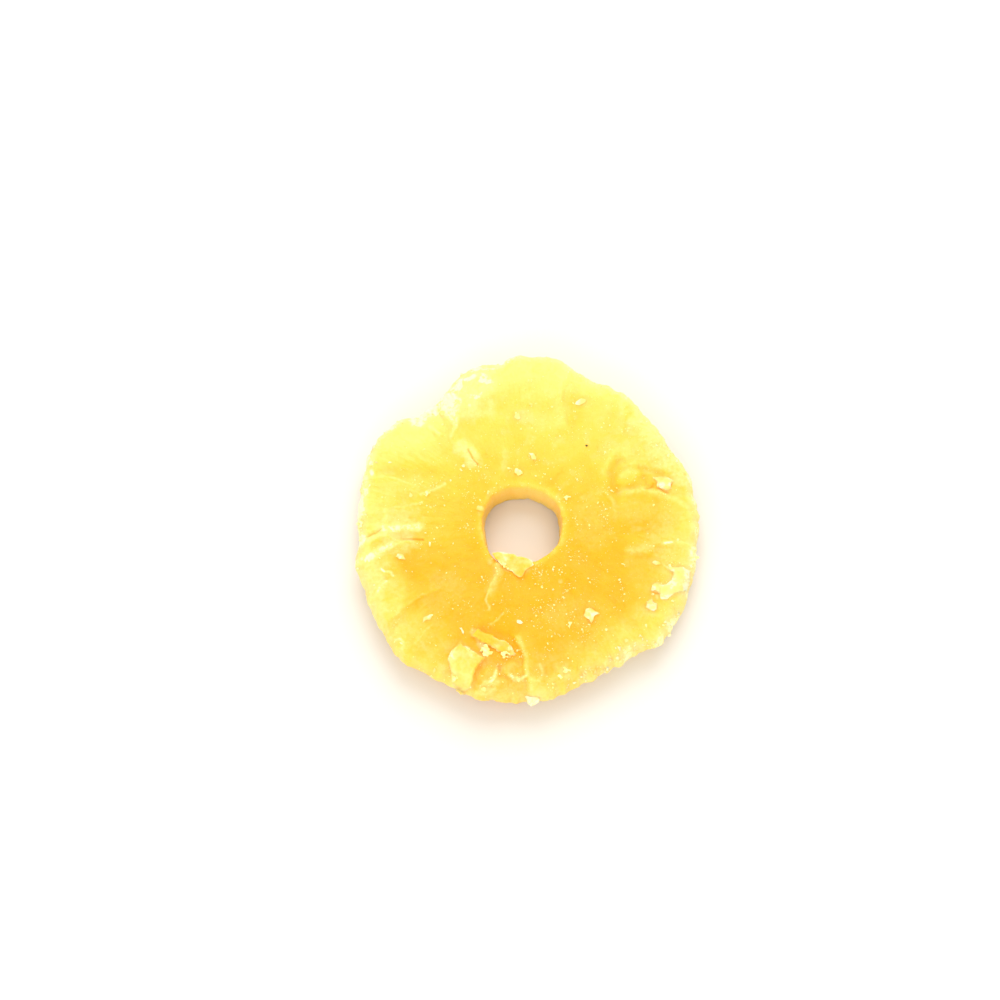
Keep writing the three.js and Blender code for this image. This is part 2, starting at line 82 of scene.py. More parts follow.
# The cut edge by angle from +X, in degrees, and radius.
RIM = (
    (2, 35.1), (11, 34.6), (19, 34.7), (26, 33.8), (31, 33.5), (43, 33.9), (54, 34.9), (60, 34.6),
    (66, 33.8), (73, 35.1), (82, 36.5), (92, 36.7), (96, 36.3), (99, 35.4), (109, 35.9), (117, 34.5),
    (127, 32.1), (136, 32.9), (141, 35), (148, 36.5), (156, 36.3), (163, 35.7), (176, 35), (188, 35),
    (195, 36.3), (206, 36.5), (216, 37.3), (229, 38.7), (236, 38), (242, 37.6), (253, 38.1), (260, 37.6),
    (268, 37.1), (278, 36.4), (288, 34.8), (299, 34.4), (310, 35.3), (316, 36.8), (322, 36.1), (329, 36.3),
    (338, 35.7), (349, 35),
)

# The cored hole's edge about its own centre.
CORE = (
    (13, 8.3), (36, 8.6), (66, 8.8), (91, 9), (112, 9.3), (135, 9.3), (165, 8.5), (199, 8.1), (226, 8.7),
    (255, 8.3), (277, 7.6), (303, 7.5), (328, 7.8), (346, 8),
)

# Folds and grooves, in which the flesh is painted more golden as painted shade: depth, half width, line.
FOLDS = (
    (0.12, 0.8, ((-20, 25.4), (-17.9, 21.7), (-16.4, 19.6), (-16.5, 17))),
    (0.3, 2.4, ((-3.7, 26.7), (-6.4, 24), (-9.1, 22.3), (-11.9, 20.1), (-14.2, 18.3), (-16.6, 15.4))),
    (0.2, 1, ((-31.5, 10.2), (-25.3, 9.6), (-19.2, 9.8))),
    (0.2, 0.8, ((-31.2, -5.9), (-29.5, -5.1), (-28, -4.9))),
    (0.2, 1, ((-26.8, -3.6), (-21.5, -3.5))),
    (0.25, 1.5, ((-26.4, 0.6), (-22.4, 0.8))),
    (0.15, 0.8, ((-14, -25.2), (-15.7, -26.6), (-17.4, -28.9), (-17, -30.9), (-16.9, -33))),
    (0.4, 1.3, ((-9, -22.9), (-7, -23.5), (-4.4, -24.6), (-2.7, -26), (-1.9, -28))),
    (0.4, 1.1, ((-9, -30), (-7.2, -30.1), (-5.8, -30.9))),
    (0.35, 0.7, ((-9.7, -31.3), (-10.4, -33), (-10.7, -35))),
    (0.25, 1, ((-3.6, -35.2), (-1.6, -35.6))),
    (0.55, 1.2, ((18.4, 12.4), (17.3, 9.8), (17.2, 7.2), (17.9, 5.9))),
    (0.32, 0.6, ((22.8, 11), (24.3, 10.4), (25.4, 10.3), (27.4, 9.6))),
    (0.35, 0.8, ((23.8, 8.9), (24.4, 7.4), (25.2, 6.3))),
    (0.08, 0.8, ((21, -8.3), (24.4, -8.3), (27, -7.2))),
    (0.25, 1.6, ((11.6, -26), (13.6, -30), (15.6, -33))),
    (0.25, 1.2, ((21.5, -22), (25.8, -26.8))),
    (0.15, 1.6, ((9.3, 28.4), (8.9, 24.6), (9.2, 20.4))),
    (0.1, 1, ((-17.2, -10.6), (-19.6, -14.4), (-22.8, -13.4), (-24.4, -10.4))),
    (0.1, 0.9, ((-22.6, -18.4), (-19, -16.9), (-17.4, -15.6))),
    (0.2, 0.8, ((4.6, 7.4), (6.4, 9.6))),
)

# Sharp cracks, in the same way, darkened with painted shade.
CRACKS = (
    (0.5, 0.26, ((-12.3, 14.8), (-11.4, 13.3), (-10.4, 11.8))),
    (0.45, 0.3, ((-34.4, -4.4), (-32.7, -3.6), (-31.1, -2.8), (-29.7, -2.1))),
    (0.4, 0.3, ((-25.9, -4.4), (-24.1, -4.5), (-22.5, -4.3), (-21.6, -4.4))),
    (0.35, 0.35, ((24, 6.1), (24.8, 6.2), (25.3, 6.7), (25.5, 7.4))),
    (0.25, 0.28, ((26.2, 6.3), (27.3, 5.7), (28.7, 5.3))),
    (0.4, 0.45, ((-6.1, -30.6), (-5.7, -31.5))),
    (0.3, 0.3, ((24.8, -15.6), (26, -15.9), (26.2, -14.9))),
)

# Ridges that have dried pale: height, half width, how pale, line.
RIDGES = (
    (0.25, 1.1, 0.46, ((-6.2, -9.8), (-6, -10.9), (-6.4, -12.2), (-7.1, -13.3), (-7.4, -14.5),
     (-7.6, -15.4))),
    (0.2, 0.3, 0.5, ((-8.1, -16), (-8.6, -17.1), (-8.4, -17.8), (-7.8, -18.4), (-8, -19.2))),
    (0.18, 1.2, 0.28, ((8.7, 32.6), (7.3, 30.2), (6.3, 27.4), (6.1, 24.6), (6.4, 22), (6.2, 20.6))),
    (0.14, 0.55, 0.46, ((-1.9, -25.2), (-1.2, -27.4), (-0.5, -29.6), (-0.1, -33), (0.9, -36.4))),
    (0.22, 0.45, 0.52, ((0.1, -33.9), (2, -34), (2.9, -33.1), (2.7, -31.2), (2.4, -30.6))),
    (0.25, 0.4, 0.7, ((-6.5, -31.8), (-6.7, -32.8), (-7.2, -33.6))),
    (0.25, 0.45, 0.55, ((-8.9, -34.1), (-7.5, -34.4), (-6.2, -34.3))),
    (0.5, 0.45, 0.5, ((-10.3, -35.9), (-8, -36.2), (-6.7, -35.2))),
    (0.4, 0.38, 0.8, ((-3.7, -32.7), (-2.8, -33.3), (-1.9, -33.7), (-0.6, -33.1))),
    (0.25, 0.6, 0.95, ((-16.3, 28.3), (-14.2, 28.9), (-14.6, 29.8))),
    (0.25, 0.8, 0.95, ((-14.1, 30.1), (-12.3, 30.1), (-11.4, 30.8))),
    (0.25, 0.65, 0.85, ((-9.9, 31.2), (-8.2, 30.5), (-7.6, 29.2))),
    (0.2, 0.5, 0.8, ((-12.5, 26.8), (-12.1, 26.4), (-11.2, 26.1), (-10.4, 26.4), (-9.8, 27.1))),
    (0.2, 0.5, 0.8, ((-9.8, 32.9), (-6.6, 33))),
    (0.25, 0.4, 0.75, ((-15.6, 27.2), (-15, 26))),
    (0.25, 0.4, 0.6, ((-20.5, 19.8), (-19.7, 19.1), (-18.5, 18.1))),
    (0.12, 0.8, 0.35, ((-4.8, 14.3), (-4.9, 12.6), (-5.1, 10.9))),
    (0.2, 0.3, 0.4, ((-30.9, 8.9), (-28.9, 8.9), (-27.4, 8.4), (-24.6, 7.4))),
    (0.25, 0.4, 0.55, ((-21.9, 5.2), (-20, 6), (-17.2, 7.5))),
    (0.2, 0.4, 0.45, ((-27.5, 2.4), (-25.6, 2.8), (-23.4, 2.9), (-22, 3.4))),
    (0.22, 0.95, 0.55, ((-29.2, 1.4), (-29.1, -0.2), (-29.5, -1.6), (-28.6, -3.1), (-28, -3.9),
     (-26.4, -5.1))),
    (0.2, 1.1, 0.8, ((-29.5, -2.2), (-26, -1.9), (-22.6, -1.7))),
    (0.25, 0.35, 0.45, ((-26, -5.1), (-23.3, -4.9))),
    (0.38, 1.1, 0.72, ((-34, -8.9), (-31, -7.9), (-29.5, -6.6), (-27.6, -5.4))),
    (0.35, 0.7, 0.6, ((-34.8, -6.5), (-33.7, -5.7), (-31.1, -3.9), (-29.2, -3.3))),
    (0.25, 0.35, 0.8, ((-29.7, -11), (-29.1, -11.6), (-28, -11.6), (-27.5, -12.4))),
    (0.25, 0.35, 0.75, ((-30.4, -15.6), (-30.2, -14.8), (-29.5, -14), (-28.7, -13.7))),
    (0.15, 0.28, 0.3, ((-20.3, -15.8), (-21.6, -16.1), (-24.1, -18), (-27, -21.2))),
    (0.15, 0.25, 0.4, ((-19.5, -22.5), (-20.7, -23.7), (-22.8, -26.4))),
    (0.2, 0.3, 0.4, ((-7.6, -22.2), (-6.3, -21.3), (-5.3, -20.2))),
    (0.3, 0.4, 0.65, ((-26.6, -25.3), (-25.4, -25.2), (-24.8, -26.2), (-25.2, -27.2))),
    (0.25, 1, 0.3, ((17.6, 14.7), (16.4, 12.3), (15.6, 9.6))),
    (0.14, 0.8, 0.3, ((21, 11.7), (23.4, 11.6), (25.2, 10.7), (28, 10.2))),
    (0.1, 1, 0.4, ((19, 5.4), (20.9, 5.6), (23.4, 6), (26.8, 5), (30.3, 3.8), (32.5, 1.7), (33.3, 0))),
    (0.08, 0.5, 0.34, ((15.9, 5.4), (17.3, 3.7), (17.7, 1.5))),
    (0.2, 1.2, 0.42, ((20.8, -6.9), (22.8, -6.4), (25.2, -5.9))),
    (0.2, 0.25, 0.95, ((27.2, -5.6), (29.1, -5.3))),
    (0.2, 0.35, 0.5, ((30, -5.3), (32.1, -5.2), (33.1, -5.7))),
)

# Edges where one layer stands above the next: height, softness, reach, how much paler the raised
# side is, line (raised on its left).
STEPS = (
    (0.2, 0.5, 5, 0.05, ((7.8, 20.4), (7.1, 23.5), (7.2, 27.4), (8.1, 30), (9.6, 33.6))),
    (0.26, 0.35, 5, 0.2, ((-29.6, -21.7), (-26.8, -20.9), (-24.6, -18.4), (-21.6, -16.2), (-19.5, -15.6))),
    (0.2, 0.7, 6, 0.08, ((-25, -17.4), (-24.5, -15.6), (-24.9, -13.6), (-26, -11.6), (-27.3, -8.8))),
    (0.25, 0.25, 2.5, 0.05, ((-6.8, -9.4), (-6.6, -11.3), (-7.8, -13.2), (-8.2, -14.6), (-8.2, -16))),
    (0.5, 0.3, 2.6, 0.34, ((-2.6, -25.6), (-1.9, -27.1), (-1.1, -29.3), (-1, -31.5), (-0.4, -34.6),
     (0.3, -37.8))),
    (0.3, 0.6, 7, 0.02, ((34.4, -2), (33.4, 0.6), (32.5, 2.1), (30.3, 4.4), (26.8, 5.8), (23.4, 6.5),
     (19, 5.8))),
    (0.15, 0.4, 4, 0, ((17.9, 1), (17.5, 3.6), (16, 5.6), (13.6, 6.2))),
    (0.25, 0.5, 4, 0, ((17.6, 6), (16.9, 7.6), (16.8, 10.2), (17.9, 12.6), (20, 13.4))),
    (0.12, 0.5, 4, 0.05, ((19.8, -7.2), (23.8, -7.5), (25.3, -7.1), (26.2, -6.1), (29, -5.9), (34, -6))),
    (0.2, 0.4, 5, 0, ((-29, 3.4), (-25.6, 3.2), (-21.4, 3.8))),
)

# Swellings and hollows: height, middle, half sizes, turn, softness of the edge, how much paler; where that is
# below 0 it is partly painted shade, golden where hollows and the sides of raised parts lie in shade.
PATCHES = (
    (-0.42, (-5.6, -30.2), (5.2, 3.8), -18, 0.5, 0), (-0.28, (22.8, 8.8), (4.8, 2.4), 8, 0.8, -0.02),
    (0.4, (20.5, 8.9), (2.3, 1.5), 20, 0.9, 0.18), (0.45, (-3.1, -31.6), (2.1, 1.6), 0, 0.6, 0),
    (0.25, (-7.7, -32.8), (1.5, 1.6), 20, 0.8, 0.06), (0.5, (-13.8, 27.6), (6, 4.4), 35, 0.5, 0.15),
    (0.35, (-12.5, 14.6), (2.8, 1.7), -38, 1.1, 0.05), (0.18, (16.8, -23.6), (7.4, 2.6), -55, 0.9, 0.08),
    (0.3, (-24, 13.6), (9, 3.4), -14, 0.9, -0.06), (-0.3, (-14, -2), (6.5, 8), 0, 0.9, 0.04),
    (0.3, (0.5, 30.5), (5.5, 5.5), 0, 0.9, 0), (0, (9.6, 24.2), (1.6, 4.5), 0, 0.9, -0.1),
    (0, (12.6, -12.2), (4, 2.4), 10, 0.9, -0.2), (0, (5.2, -28.1), (3, 3.6), 0, 0.9, -0.12),
    (0, (0.8, -30.8), (4, 4), 0, 0.9, -0.26), (0, (-21.6, -10.6), (3.4, 5), 20, 0.8, -0.1),
    (0, (23, -1.4), (5, 2), 10, 0.9, -0.1), (0, (-6, -21), (5, 3), 0, 0.9, -0.1),
    (0, (-6.4, -32.4), (4.6, 3.2), -10, 0.9, -0.22), (0, (24, -4.2), (4.5, 1.4), 5, 0.9, 0.15),
    (0, (-24, 10), (4.6, 2.2), 0, 0.9, -0.12), (0, (-6, -26.2), (4.6, 2.4), -35, 0.7, -0.26),
    (0, (-13.2, -31.8), (3, 4.4), 10, 0.8, -0.1), (0, (-5, -36), (6, 2.8), 0, 0.9, -0.2),
    (0, (22.6, 14.6), (6, 3), 30, 0.9, 0.08), (0, (27, 17), (12, 5), -55, 0.9, -0.14),
    (0, (24.5, -11), (5, 5), 0, 0.9, 0.14), (0, (-30, 11), (3, 5), 0, 0.9, -0.06),
    (0, (-23, -23.6), (4.5, 3), 45, 0.9, 0.18),
)

# Plates torn up from the face: outline, rise, softness of the edge, tip, facing, how pale, and how
# thick the crisp sheet on top is, or 0 where there is none.
PLATES = (
    (  # the crag's plate
        ((-15.4, -27.4), (-14.1, -26.8), (-13.5, -25.9), (-12.9, -26.9), (-10.9, -27.9), (-8.6, -29.1),
         (-9.7, -30.4), (-10.6, -31.6), (-11.1, -34.3), (-11.5, -35.1), (-12.7, -35.6), (-13.9, -35.5),
         (-15, -34.4), (-15.5, -32.4), (-16.1, -29.6)),
        0.36, 0.32, 4, 60, 0.34, 0.3,
    ),
    (  # the strip behind it
        ((-10, -23), (-9.4, -23.6), (-7.7, -24.3), (-6, -25.4), (-4.6, -25.7), (-3.1, -27.1), (-2.5, -28.4),
         (-3.9, -28.8), (-6.5, -27.6), (-7.7, -26.6), (-9.1, -26.2), (-10.2, -25.6), (-11.3, -24.5)),
        0.4, 0.25, 5, 100, 0.12, 0.26,
    ),
    (  # the strip's dried end
        ((-10, -23), (-9.3, -24.3), (-10.2, -25.5), (-11.3, -24.5)),
        0.05, 0.4, 0, 0, 0.5, 0,
    ),
    (  # the frosted tongue over the fold
        ((-18.8, 24.4), (-18.3, 22.8), (-17.3, 21.9), (-16.2, 20.6), (-15.5, 19.8), (-16.1, 18.2),
         (-15.9, 17.2), (-15.1, 18.6), (-14.4, 19.8), (-14, 21.2), (-14.4, 22.7), (-13, 26), (-16.4, 28)),
        0.3, 0.6, 0, 0, 0.75, 0,
    ),
    (  # the right lobe's dried skin
        ((27.3, -9.9), (29.3, -10.5), (31.2, -10.2), (32.9, -10.7), (32.5, -13.2), (32.1, -14.8),
         (29.8, -15.8), (27.8, -17.1), (26.4, -17.1), (26.3, -15.8), (27.2, -13.9), (28.8, -13.2),
         (29.1, -11.6)),
        0.25, 0.32, 3, 120, 0.7, 0.2,
    ),
    (
        ((24.9, -14), (25.5, -13.4), (26.3, -13.7), (27.2, -13.9), (26.7, -15.5), (26.1, -15.8),
         (25.5, -15.2), (24.7, -15.3)),
        0.25, 0.28, 5, 160, 0.68, 0.16,
    ),
    (
        ((23.4, -18.4), (24.1, -17.4), (24.7, -16.8), (25.1, -17.7), (25.8, -18), (25.8, -19),
         (25.1, -19.5), (24.2, -19.5), (23.6, -19)),
        0.25, 0.3, 5, 160, 0.58, 0.14,
    ),
    (
        ((25.5, -16.2), (26.3, -16.4), (25.8, -17.2)),
        0.15, 0.3, 0, 0, 0.6, 0,
    ),
    (  # the flap over the pocket
        ((25.4, 8.7), (26.4, 7.6), (26.2, 6.5), (27.2, 6.1), (28.6, 5.7), (29, 6.2), (29.2, 7.2),
         (29.7, 7.8), (28.8, 8.7), (27.2, 8.9)),
        0.3, 0.28, 6, 300, 0.5, 0.22,
    ),
)

# Where the flesh is pale and dry: strength, middle, half sizes, turn.
FROST = (
    (0.58, (-13, 27.6), (7.6, 6), 35), (0.62, (-12.6, 14.3), (3.4, 2), -40),
    (0.8, (-12.4, 24.4), (0.7, 0.5), 0), (1, (-9, 29.8), (1.5, 0.7), -10),
    (1, (-14.8, 28.6), (1.3, 0.9), 40), (0.95, (-10.8, 26.2), (1, 0.5), 5),
    (0.95, (-17.2, 22.8), (1, 0.6), -35), (0.9, (-16.6, 25), (2.2, 3.4), 20),
    (0.54, (-31.4, -13.4), (3.6, 8.2), 12), (0.5, (-26.8, -1.6), (4.6, 5.6), 5),
    (0.85, (-32.3, -8.6), (2.4, 1), 25), (0.9, (-14.6, -32.9), (0.8, 1.4), 0),
    (0.55, (-14.9, -34.6), (0.7, 0.7), 0), (0.7, (-9.3, -26.8), (1.5, 0.8), -50),
    (0.6, (-10.9, -24.2), (0.8, 1), 30), (0.5, (-8.4, -35), (1.6, 0.9), 10),
    (0.8, (-7.4, -33.9), (0.7, 0.6), 50), (0.6, (-2.4, -33.4), (1.3, 0.5), -10),
    (0.85, (-12.2, -27.4), (1.1, 0.5), -38), (0.8, (32, -12), (0.6, 0.8), 0),
    (0.8, (30.8, -14.2), (0.4, 0.8), -30), (0.6, (26.2, -25.4), (1.8, 1.3), 30),
    (0.5, (18.6, -30.3), (2.6, 0.9), 3), (0.45, (6.4, -13.1), (0.5, 0.4), 0),
    (0.45, (25.9, 11.9), (1, 0.7), -20), (0.4, (30.1, 9.9), (0.7, 0.7), 0),
    (0.45, (7, -32.2), (1.3, 1.6), 20), (0.8, (-32.6, 12.2), (0.5, 0.7), 20),
    (0.9, (-32.3, 9.8), (0.6, 0.9), 30), (0.85, (-33.4, 6), (0.6, 1.1), -10),
    (0.75, (-33.9, 2.3), (0.6, 1.9), 0), (0.85, (-21.8, 22.8), (3.4, 2.4), 45),
    (0.44, (-0.8, 22.2), (2.6, 1.6), 0), (0.34, (28.4, -6), (4, 9), 0), (0.16, (-13, -22), (7, 4), 35),
    (0.32, (21, 14.5), (7, 3), 0), (0.22, (-19.5, -19.5), (4.5, 3.4), 30), (0.28, (-26, 6.4), (6, 2.6), 5),
    (0.22, (12.4, -1), (4, 7), 0), (0.24, (22, 1.6), (9, 2.6), 0), (0.22, (-16.4, -14), (4, 3), 0),
    (0.2, (6, -20), (2.6, 4), 0), (0.3, (14.4, 30), (4, 2.4), -35), (0.24, (-18, -22.4), (2.4, 2), 0),
    (0.54, (27.4, 16.5), (12, 4.4), -55), (0.16, (24, -10.5), (5, 4), 0), (0.2, (12, -20), (6, 4), -40),
)

# How much paler than the face the flesh is at the rim, by angle: partly the dried rim's own colour, partly
# painted light, raised at the lower right to offset the shade that falls there.
RIM_PALENESS = (
    (0, 0.48), (20, 0.12), (60, 0.1), (85, 0.36), (125, 0.45), (160, 0.05), (180, 0.35), (200, 0.5),
    (220, 0.35), (240, 0.28), (262, 0.22), (280, 0.3), (300, 0.55), (320, 0.6), (342, 0.65),
)

# How white the rim's edge has dried, by angle.
RIM_FROST = (
    (0, 0.6), (35, 0.65), (90, 0.55), (130, 1.05), (160, 0.75), (182, 0.95), (200, 0.7), (222, 0.4),
    (250, 0.34), (262, 0.25), (272, 0.4), (300, 0.62), (320, 0.7), (342, 0.85),
)

# Where sugar grains lie thick: strength, middle, half sizes, turn.
SUGARED = (
    (1, (-0.9, -1.4), (14.5, 14.5), 0), (0.9, (6, -15), (12, 9), -30), (0.8, (2.5, -31), (6, 5), 0),
    (0.7, (-4, -28.5), (4, 3), -18), (0.8, (13, 1), (6, 9), 0), (0.6, (28, -14), (4.5, 6.5), 0),
    (0.5, (-21, 6), (8, 3.4), 10), (0.5, (14, 20), (12, 12), 30),
)

# Where the fibres that run out from the hole show as pale streaks.
STREAKED = (
    (0.8, (-26.5, 2.5), (10, 8), 0), (0.6, (-25, 14), (8, 5), -20), (0.6, (28.5, -4), (7, 7), 0),
    (0.6, (17, -24.5), (9, 6), -50), (0.5, (-22, -20), (8, 7), 45), (0.4, (0, 30), (7, 6), 0),
    (0.3, (24, 20), (8, 6), 45),
)

# Torn flakes: outline, height of the top at its middle, thickness, tip, the way it faces, dryness.
TORN = (
    (  # the chip over the hole's near edge
        ((-7.4, -7.3), (-6.1, -7), (-4.6, -7.4), (-3.2, -7.5), (-2.3, -8), (-1, -8.1), (0.6, -8.8),
         (1.2, -9.8), (0.1, -10.3), (-0.7, -10.9), (-1, -11.6), (-1.4, -12.1), (-2, -12.2), (-2.7, -11.8),
         (-3.3, -11), (-4.3, -10.6), (-5.6, -9.6), (-6.9, -8.5)),
        8.75, 1.1, 3, 150, 0.5,
    ),
    (  # the scrap under the near rim
        ((-0.6, -35.9), (0.3, -35.4), (2.1, -35.9), (2.2, -37.1), (1, -37.6), (0.4, -38), (-0.2, -37.3)),
        7.1, 3, 14, 90, 1,
    ),
)

# Pale loose flakes on the face: outline.
FLAKES = (
    ((11.1, -20.4), (11.6, -19), (12.2, -18.7), (13, -19.5), (14.2, -20.1), (13.4, -20.5), (12.9, -21.7),
     (12.4, -22.2), (12.1, -21.3)),
    ((0, 14.4), (1, 14.4), (1.7, 13.4), (1.6, 12.7), (0.8, 12.8)),
    ((9.7, 24.8), (10.1, 25.5), (11, 26), (12, 25.8), (11.8, 25.2), (10.6, 24.6)),
    ((-10.7, 2.1), (-10.3, 3), (-9.3, 3), (-8.9, 2.3), (-9.7, 1.7)),
    ((-27, -8.2), (-26.5, -7.6), (-25.4, -7.8), (-24.9, -8.9), (-26.2, -8.8)),
    ((-21.3, -22), (-21, -21), (-20, -20.3), (-19.3, -20.5), (-19.7, -21.3), (-20.6, -21.5)),
    ((-3.1, 21.9), (-2.6, 22.9), (-1.9, 22.8), (-1.8, 21.7), (-2.4, 21.4)),
    ((25, -9.3), (25.6, -9), (26.4, -9.2), (26.7, -9.6), (25.8, -9.8)),
    ((-14, -22.9), (-13.3, -22.8), (-12.8, -23.9), (-13, -24.5), (-13.6, -23.8)),
)

# Small pale chips: middle, length, width, turn.
CHIPS = (
    ((-18.8, -31.5), 1, 0.6, 80), ((-1.8, -21.8), 1, 0.6, 160), ((-13.3, 11.4), 0.8, 0.7, 70),
    ((-24.1, 5), 0.8, 0.6, 80), ((-20.1, 2.5), 0.8, 0.6, 140), ((-28.4, 11.9), 1, 0.35, 5),
    ((-26.2, 10.4), 0.9, 0.25, 42), ((19.6, -25.6), 0.8, 0.7, 20), ((5, -14.9), 0.6, 0.5, 150),
    ((7.8, -15.1), 0.6, 0.4, 40), ((6.6, -16.7), 1, 0.3, 40), ((21.9, 8.7), 0.9, 0.35, 50),
    ((23.6, 8.7), 0.8, 0.5, 40), ((32.3, 9.9), 0.7, 0.5, 30), ((0.5, 24.7), 0.8, 0.3, 155),
    ((-26.6, -22), 0.7, 0.5, 150), ((28.4, -23.2), 1.1, 0.5, 30), ((-17.9, 22.8), 1.2, 1, 150),
    ((-5.3, 18.3), 1.2, 0.3, 125), ((25, -16), 0.6, 0.5, 0), ((-20.1, -5.4), 1.2, 0.35, 88),
)

# Clumps of grown-together crystals: middle, size and number of crystals.
CLUMPS = (
    ((-8.5, -27.7), 2.5, 18), ((-4.9, -9.9), 1.3, 9), ((-4.2, -10.6), 0.8, 5), ((-14.6, -33.2), 1.4, 9),
    ((-12.2, -27.6), 1.2, 7), ((-19.6, -20.8), 1.5, 9), ((-3.9, -27.2), 1.1, 7), ((-4.5, -28.5), 2, 12),
    ((-7.2, -33.6), 1.1, 6), ((-8.8, -35.4), 1.3, 7), ((-2.2, -33.5), 1.2, 7), ((-8.6, 5.9), 1.2, 6),
    ((8, 4.5), 1.3, 7), ((-1.8, 10.4), 2, 10), ((-3.8, 10.7), 1.2, 5), ((8.2, -22.3), 1.5, 9),
    ((7.5, -31.7), 1.7, 9), ((6.4, -33), 1.3, 6), ((23.6, -22.4), 0.9, 6), ((-21, 5.3), 1.6, 8),
    ((-21.9, 3.3), 1, 5), ((-28.4, -11.6), 0.9, 5), ((19.1, -9.9), 1.2, 6), ((28.4, -10), 1.2, 6),
    ((2.6, -14.4), 1, 5), ((5.2, -10.4), 1.1, 6), ((8.8, -8.6), 1.1, 5), ((14, 3.4), 1, 5),
    ((-25.3, -26.2), 1, 5),
)

# Crusted lumps that stand out from the rim's side: angle, height in the rim's rounding, size.
RIM_LUMPS = (
    (182, 0.45, 2.2), (186.5, 0.3, 1.5), (347.5, 0.4, 1.7), (321, 0.6, 1), (127, 0.6, 1.6), (160, 0.7, 1),
    (239, 0.2, 0.8), (17, 0.7, 1), (26, 0.7, 1.1),
)

SPECK = (12, 15.7)  # where the crumb of dark peel lies
SPECK_SIZE = (0.62, 0.4, 0.36)
RIM_CRUMBS = 150  # tries at a crumb anywhere on the rim, fewer where it is moist
RIM_SHARDS = 80  # torn bits along the rim's lower right
SHARD_ARC = (283, 329)  # from which angle to which they lie

TEAR = 0.16  # how far a torn edge wanders
LEAST_GRAIN = 0.35  # the smallest strewn grain and the unevenness of all, as shares of the largest
PROBE_FROM = 50.0  # height above everything, from which a finished surface is felt for
FULL_TURN = 2 * math.pi

# The first seed of each kind of random shape.
SEEDS = {
    "torn": 100, "crag": 130, "chips": 170, "sugar": 210, "sheet": 250, "chip": 300, "flake": 400,
    "clump": 500, "rim lump": 700, "speck": 900, "rim crumb": 4000, "crumb shape": 4100,
}

# Mesh density: points around the ring, and spans along each stretch of its section.
AROUND = 800
SPANS = {"back": 8, "rim_low": 9, "rim_high": 14, "front": 78, "hole_high": 7, "wall": 5, "hole_low": 2}

# The studio, in metres.
KEY_PLACE = (0.05, 0.42, 0.5)  # the large light behind the ring
FILL_PLACE = (-0.12, -0.55, 0.32)  # the light beside the camera
SOFTBOX = 0.5  # each light's size
VIEWED = (-0.000118, -0.000647, 0.005)  # the point of the ring that the camera turns about
VIEW_LEFT = 0.00576  # how far left of that point the view's middle lies
VIEW_UP = 0.00617  # how far above it

# ---------------------------------------------------------------- plain maths


def draw(n):
    """The same seeded draw for the same number, from 0 to 1."""
    x = np.sin(np.asarray(n, dtype=float) * 12.9898 + 78.233) * 43758.5453
    return x - np.floor(x)


def ease(t):
    """0 below 0, 1 above 1 and smooth between."""
    t = np.clip(t, 0.0, 1.0)
    return t * t * (3.0 - 2.0 * t)


def mix(a, b, t):
    """From a at 0 to b at 1."""
    return a + (b - a) * t


def hill(distance, width):
    """1 at no distance, and dying away over about a width."""
    return np.exp(-((distance / width) ** 2))


def noise(x, y, seed):
    """Smooth noise from -1 to 1 over a plane, with hills about one unit wide."""
    def cell(i, j):
        return 2.0 * draw(i * 1.37 + j * 57.31 + seed * 7.77) - 1.0

    i, j = np.floor(x), np.floor(y)
    u, v = ease(x - i), ease(y - j)
    near = mix(cell(i, j), cell(i + 1, j), u)
    far = mix(cell(i, j + 1), cell(i + 1, j + 1), u)
    return mix(near, far, v)


def uneven(x, y, seed, *layers):
    """Noises over a plane added up, each layer given as its strength and the width of its hills."""
    return sum(
        strength * noise(x / width, y / width, seed + k) for k, (strength, width) in enumerate(layers)
    )


def noise_3d(points, size, seed):
    """Smooth noise from -1 to 1 in space, with hills about size wide."""
    x, y, z = (points[..., k] / size for k in range(3))
    floor = np.floor(z)
    lower = noise(x + 13.7 * draw(floor + seed), y + 29.3 * draw(floor + seed + 0.5), seed)
    upper = noise(x + 13.7 * draw(floor + 1 + seed), y + 29.3 * draw(floor + seed + 1.5), seed)
    return mix(lower, upper, ease(z - floor))


def layered(points, size, seed, layers=3):
    """Noise with finer noise on it."""
    return sum(noise_3d(points, size * 0.5**k, seed + 11 * k) * 0.55**k for k in range(layers))


def radius_at(outline, degrees):
    """A closed outline of angle and radius pairs, read smoothly at any angle."""
    angles = np.array([angle for angle, _ in outline], dtype=float)
    radii = np.array([radius for _, radius in outline], dtype=float)
    wrapped = np.mod(degrees, 360.0)
    after = np.searchsorted(angles, wrapped, side="right") % len(angles)
    before = after - 1
    first, last = before - 1, (after + 1) % len(angles)
    span = np.mod(angles[after] - angles[before], 360.0)
    t = np.mod(wrapped - angles[before], 360.0) / span
    start = (radii[after] - radii[first]) / np.mod(angles[after] - angles[first], 360.0) * span
    end = (radii[last] - radii[before]) / np.mod(angles[last] - angles[before], 360.0) * span
    return (
        (2 * t**3 - 3 * t**2 + 1) * radii[before]
        + (t**3 - 2 * t**2 + t) * start
        + (3 * t**2 - 2 * t**3) * radii[after]
        + (t**3 - t**2) * end
    )


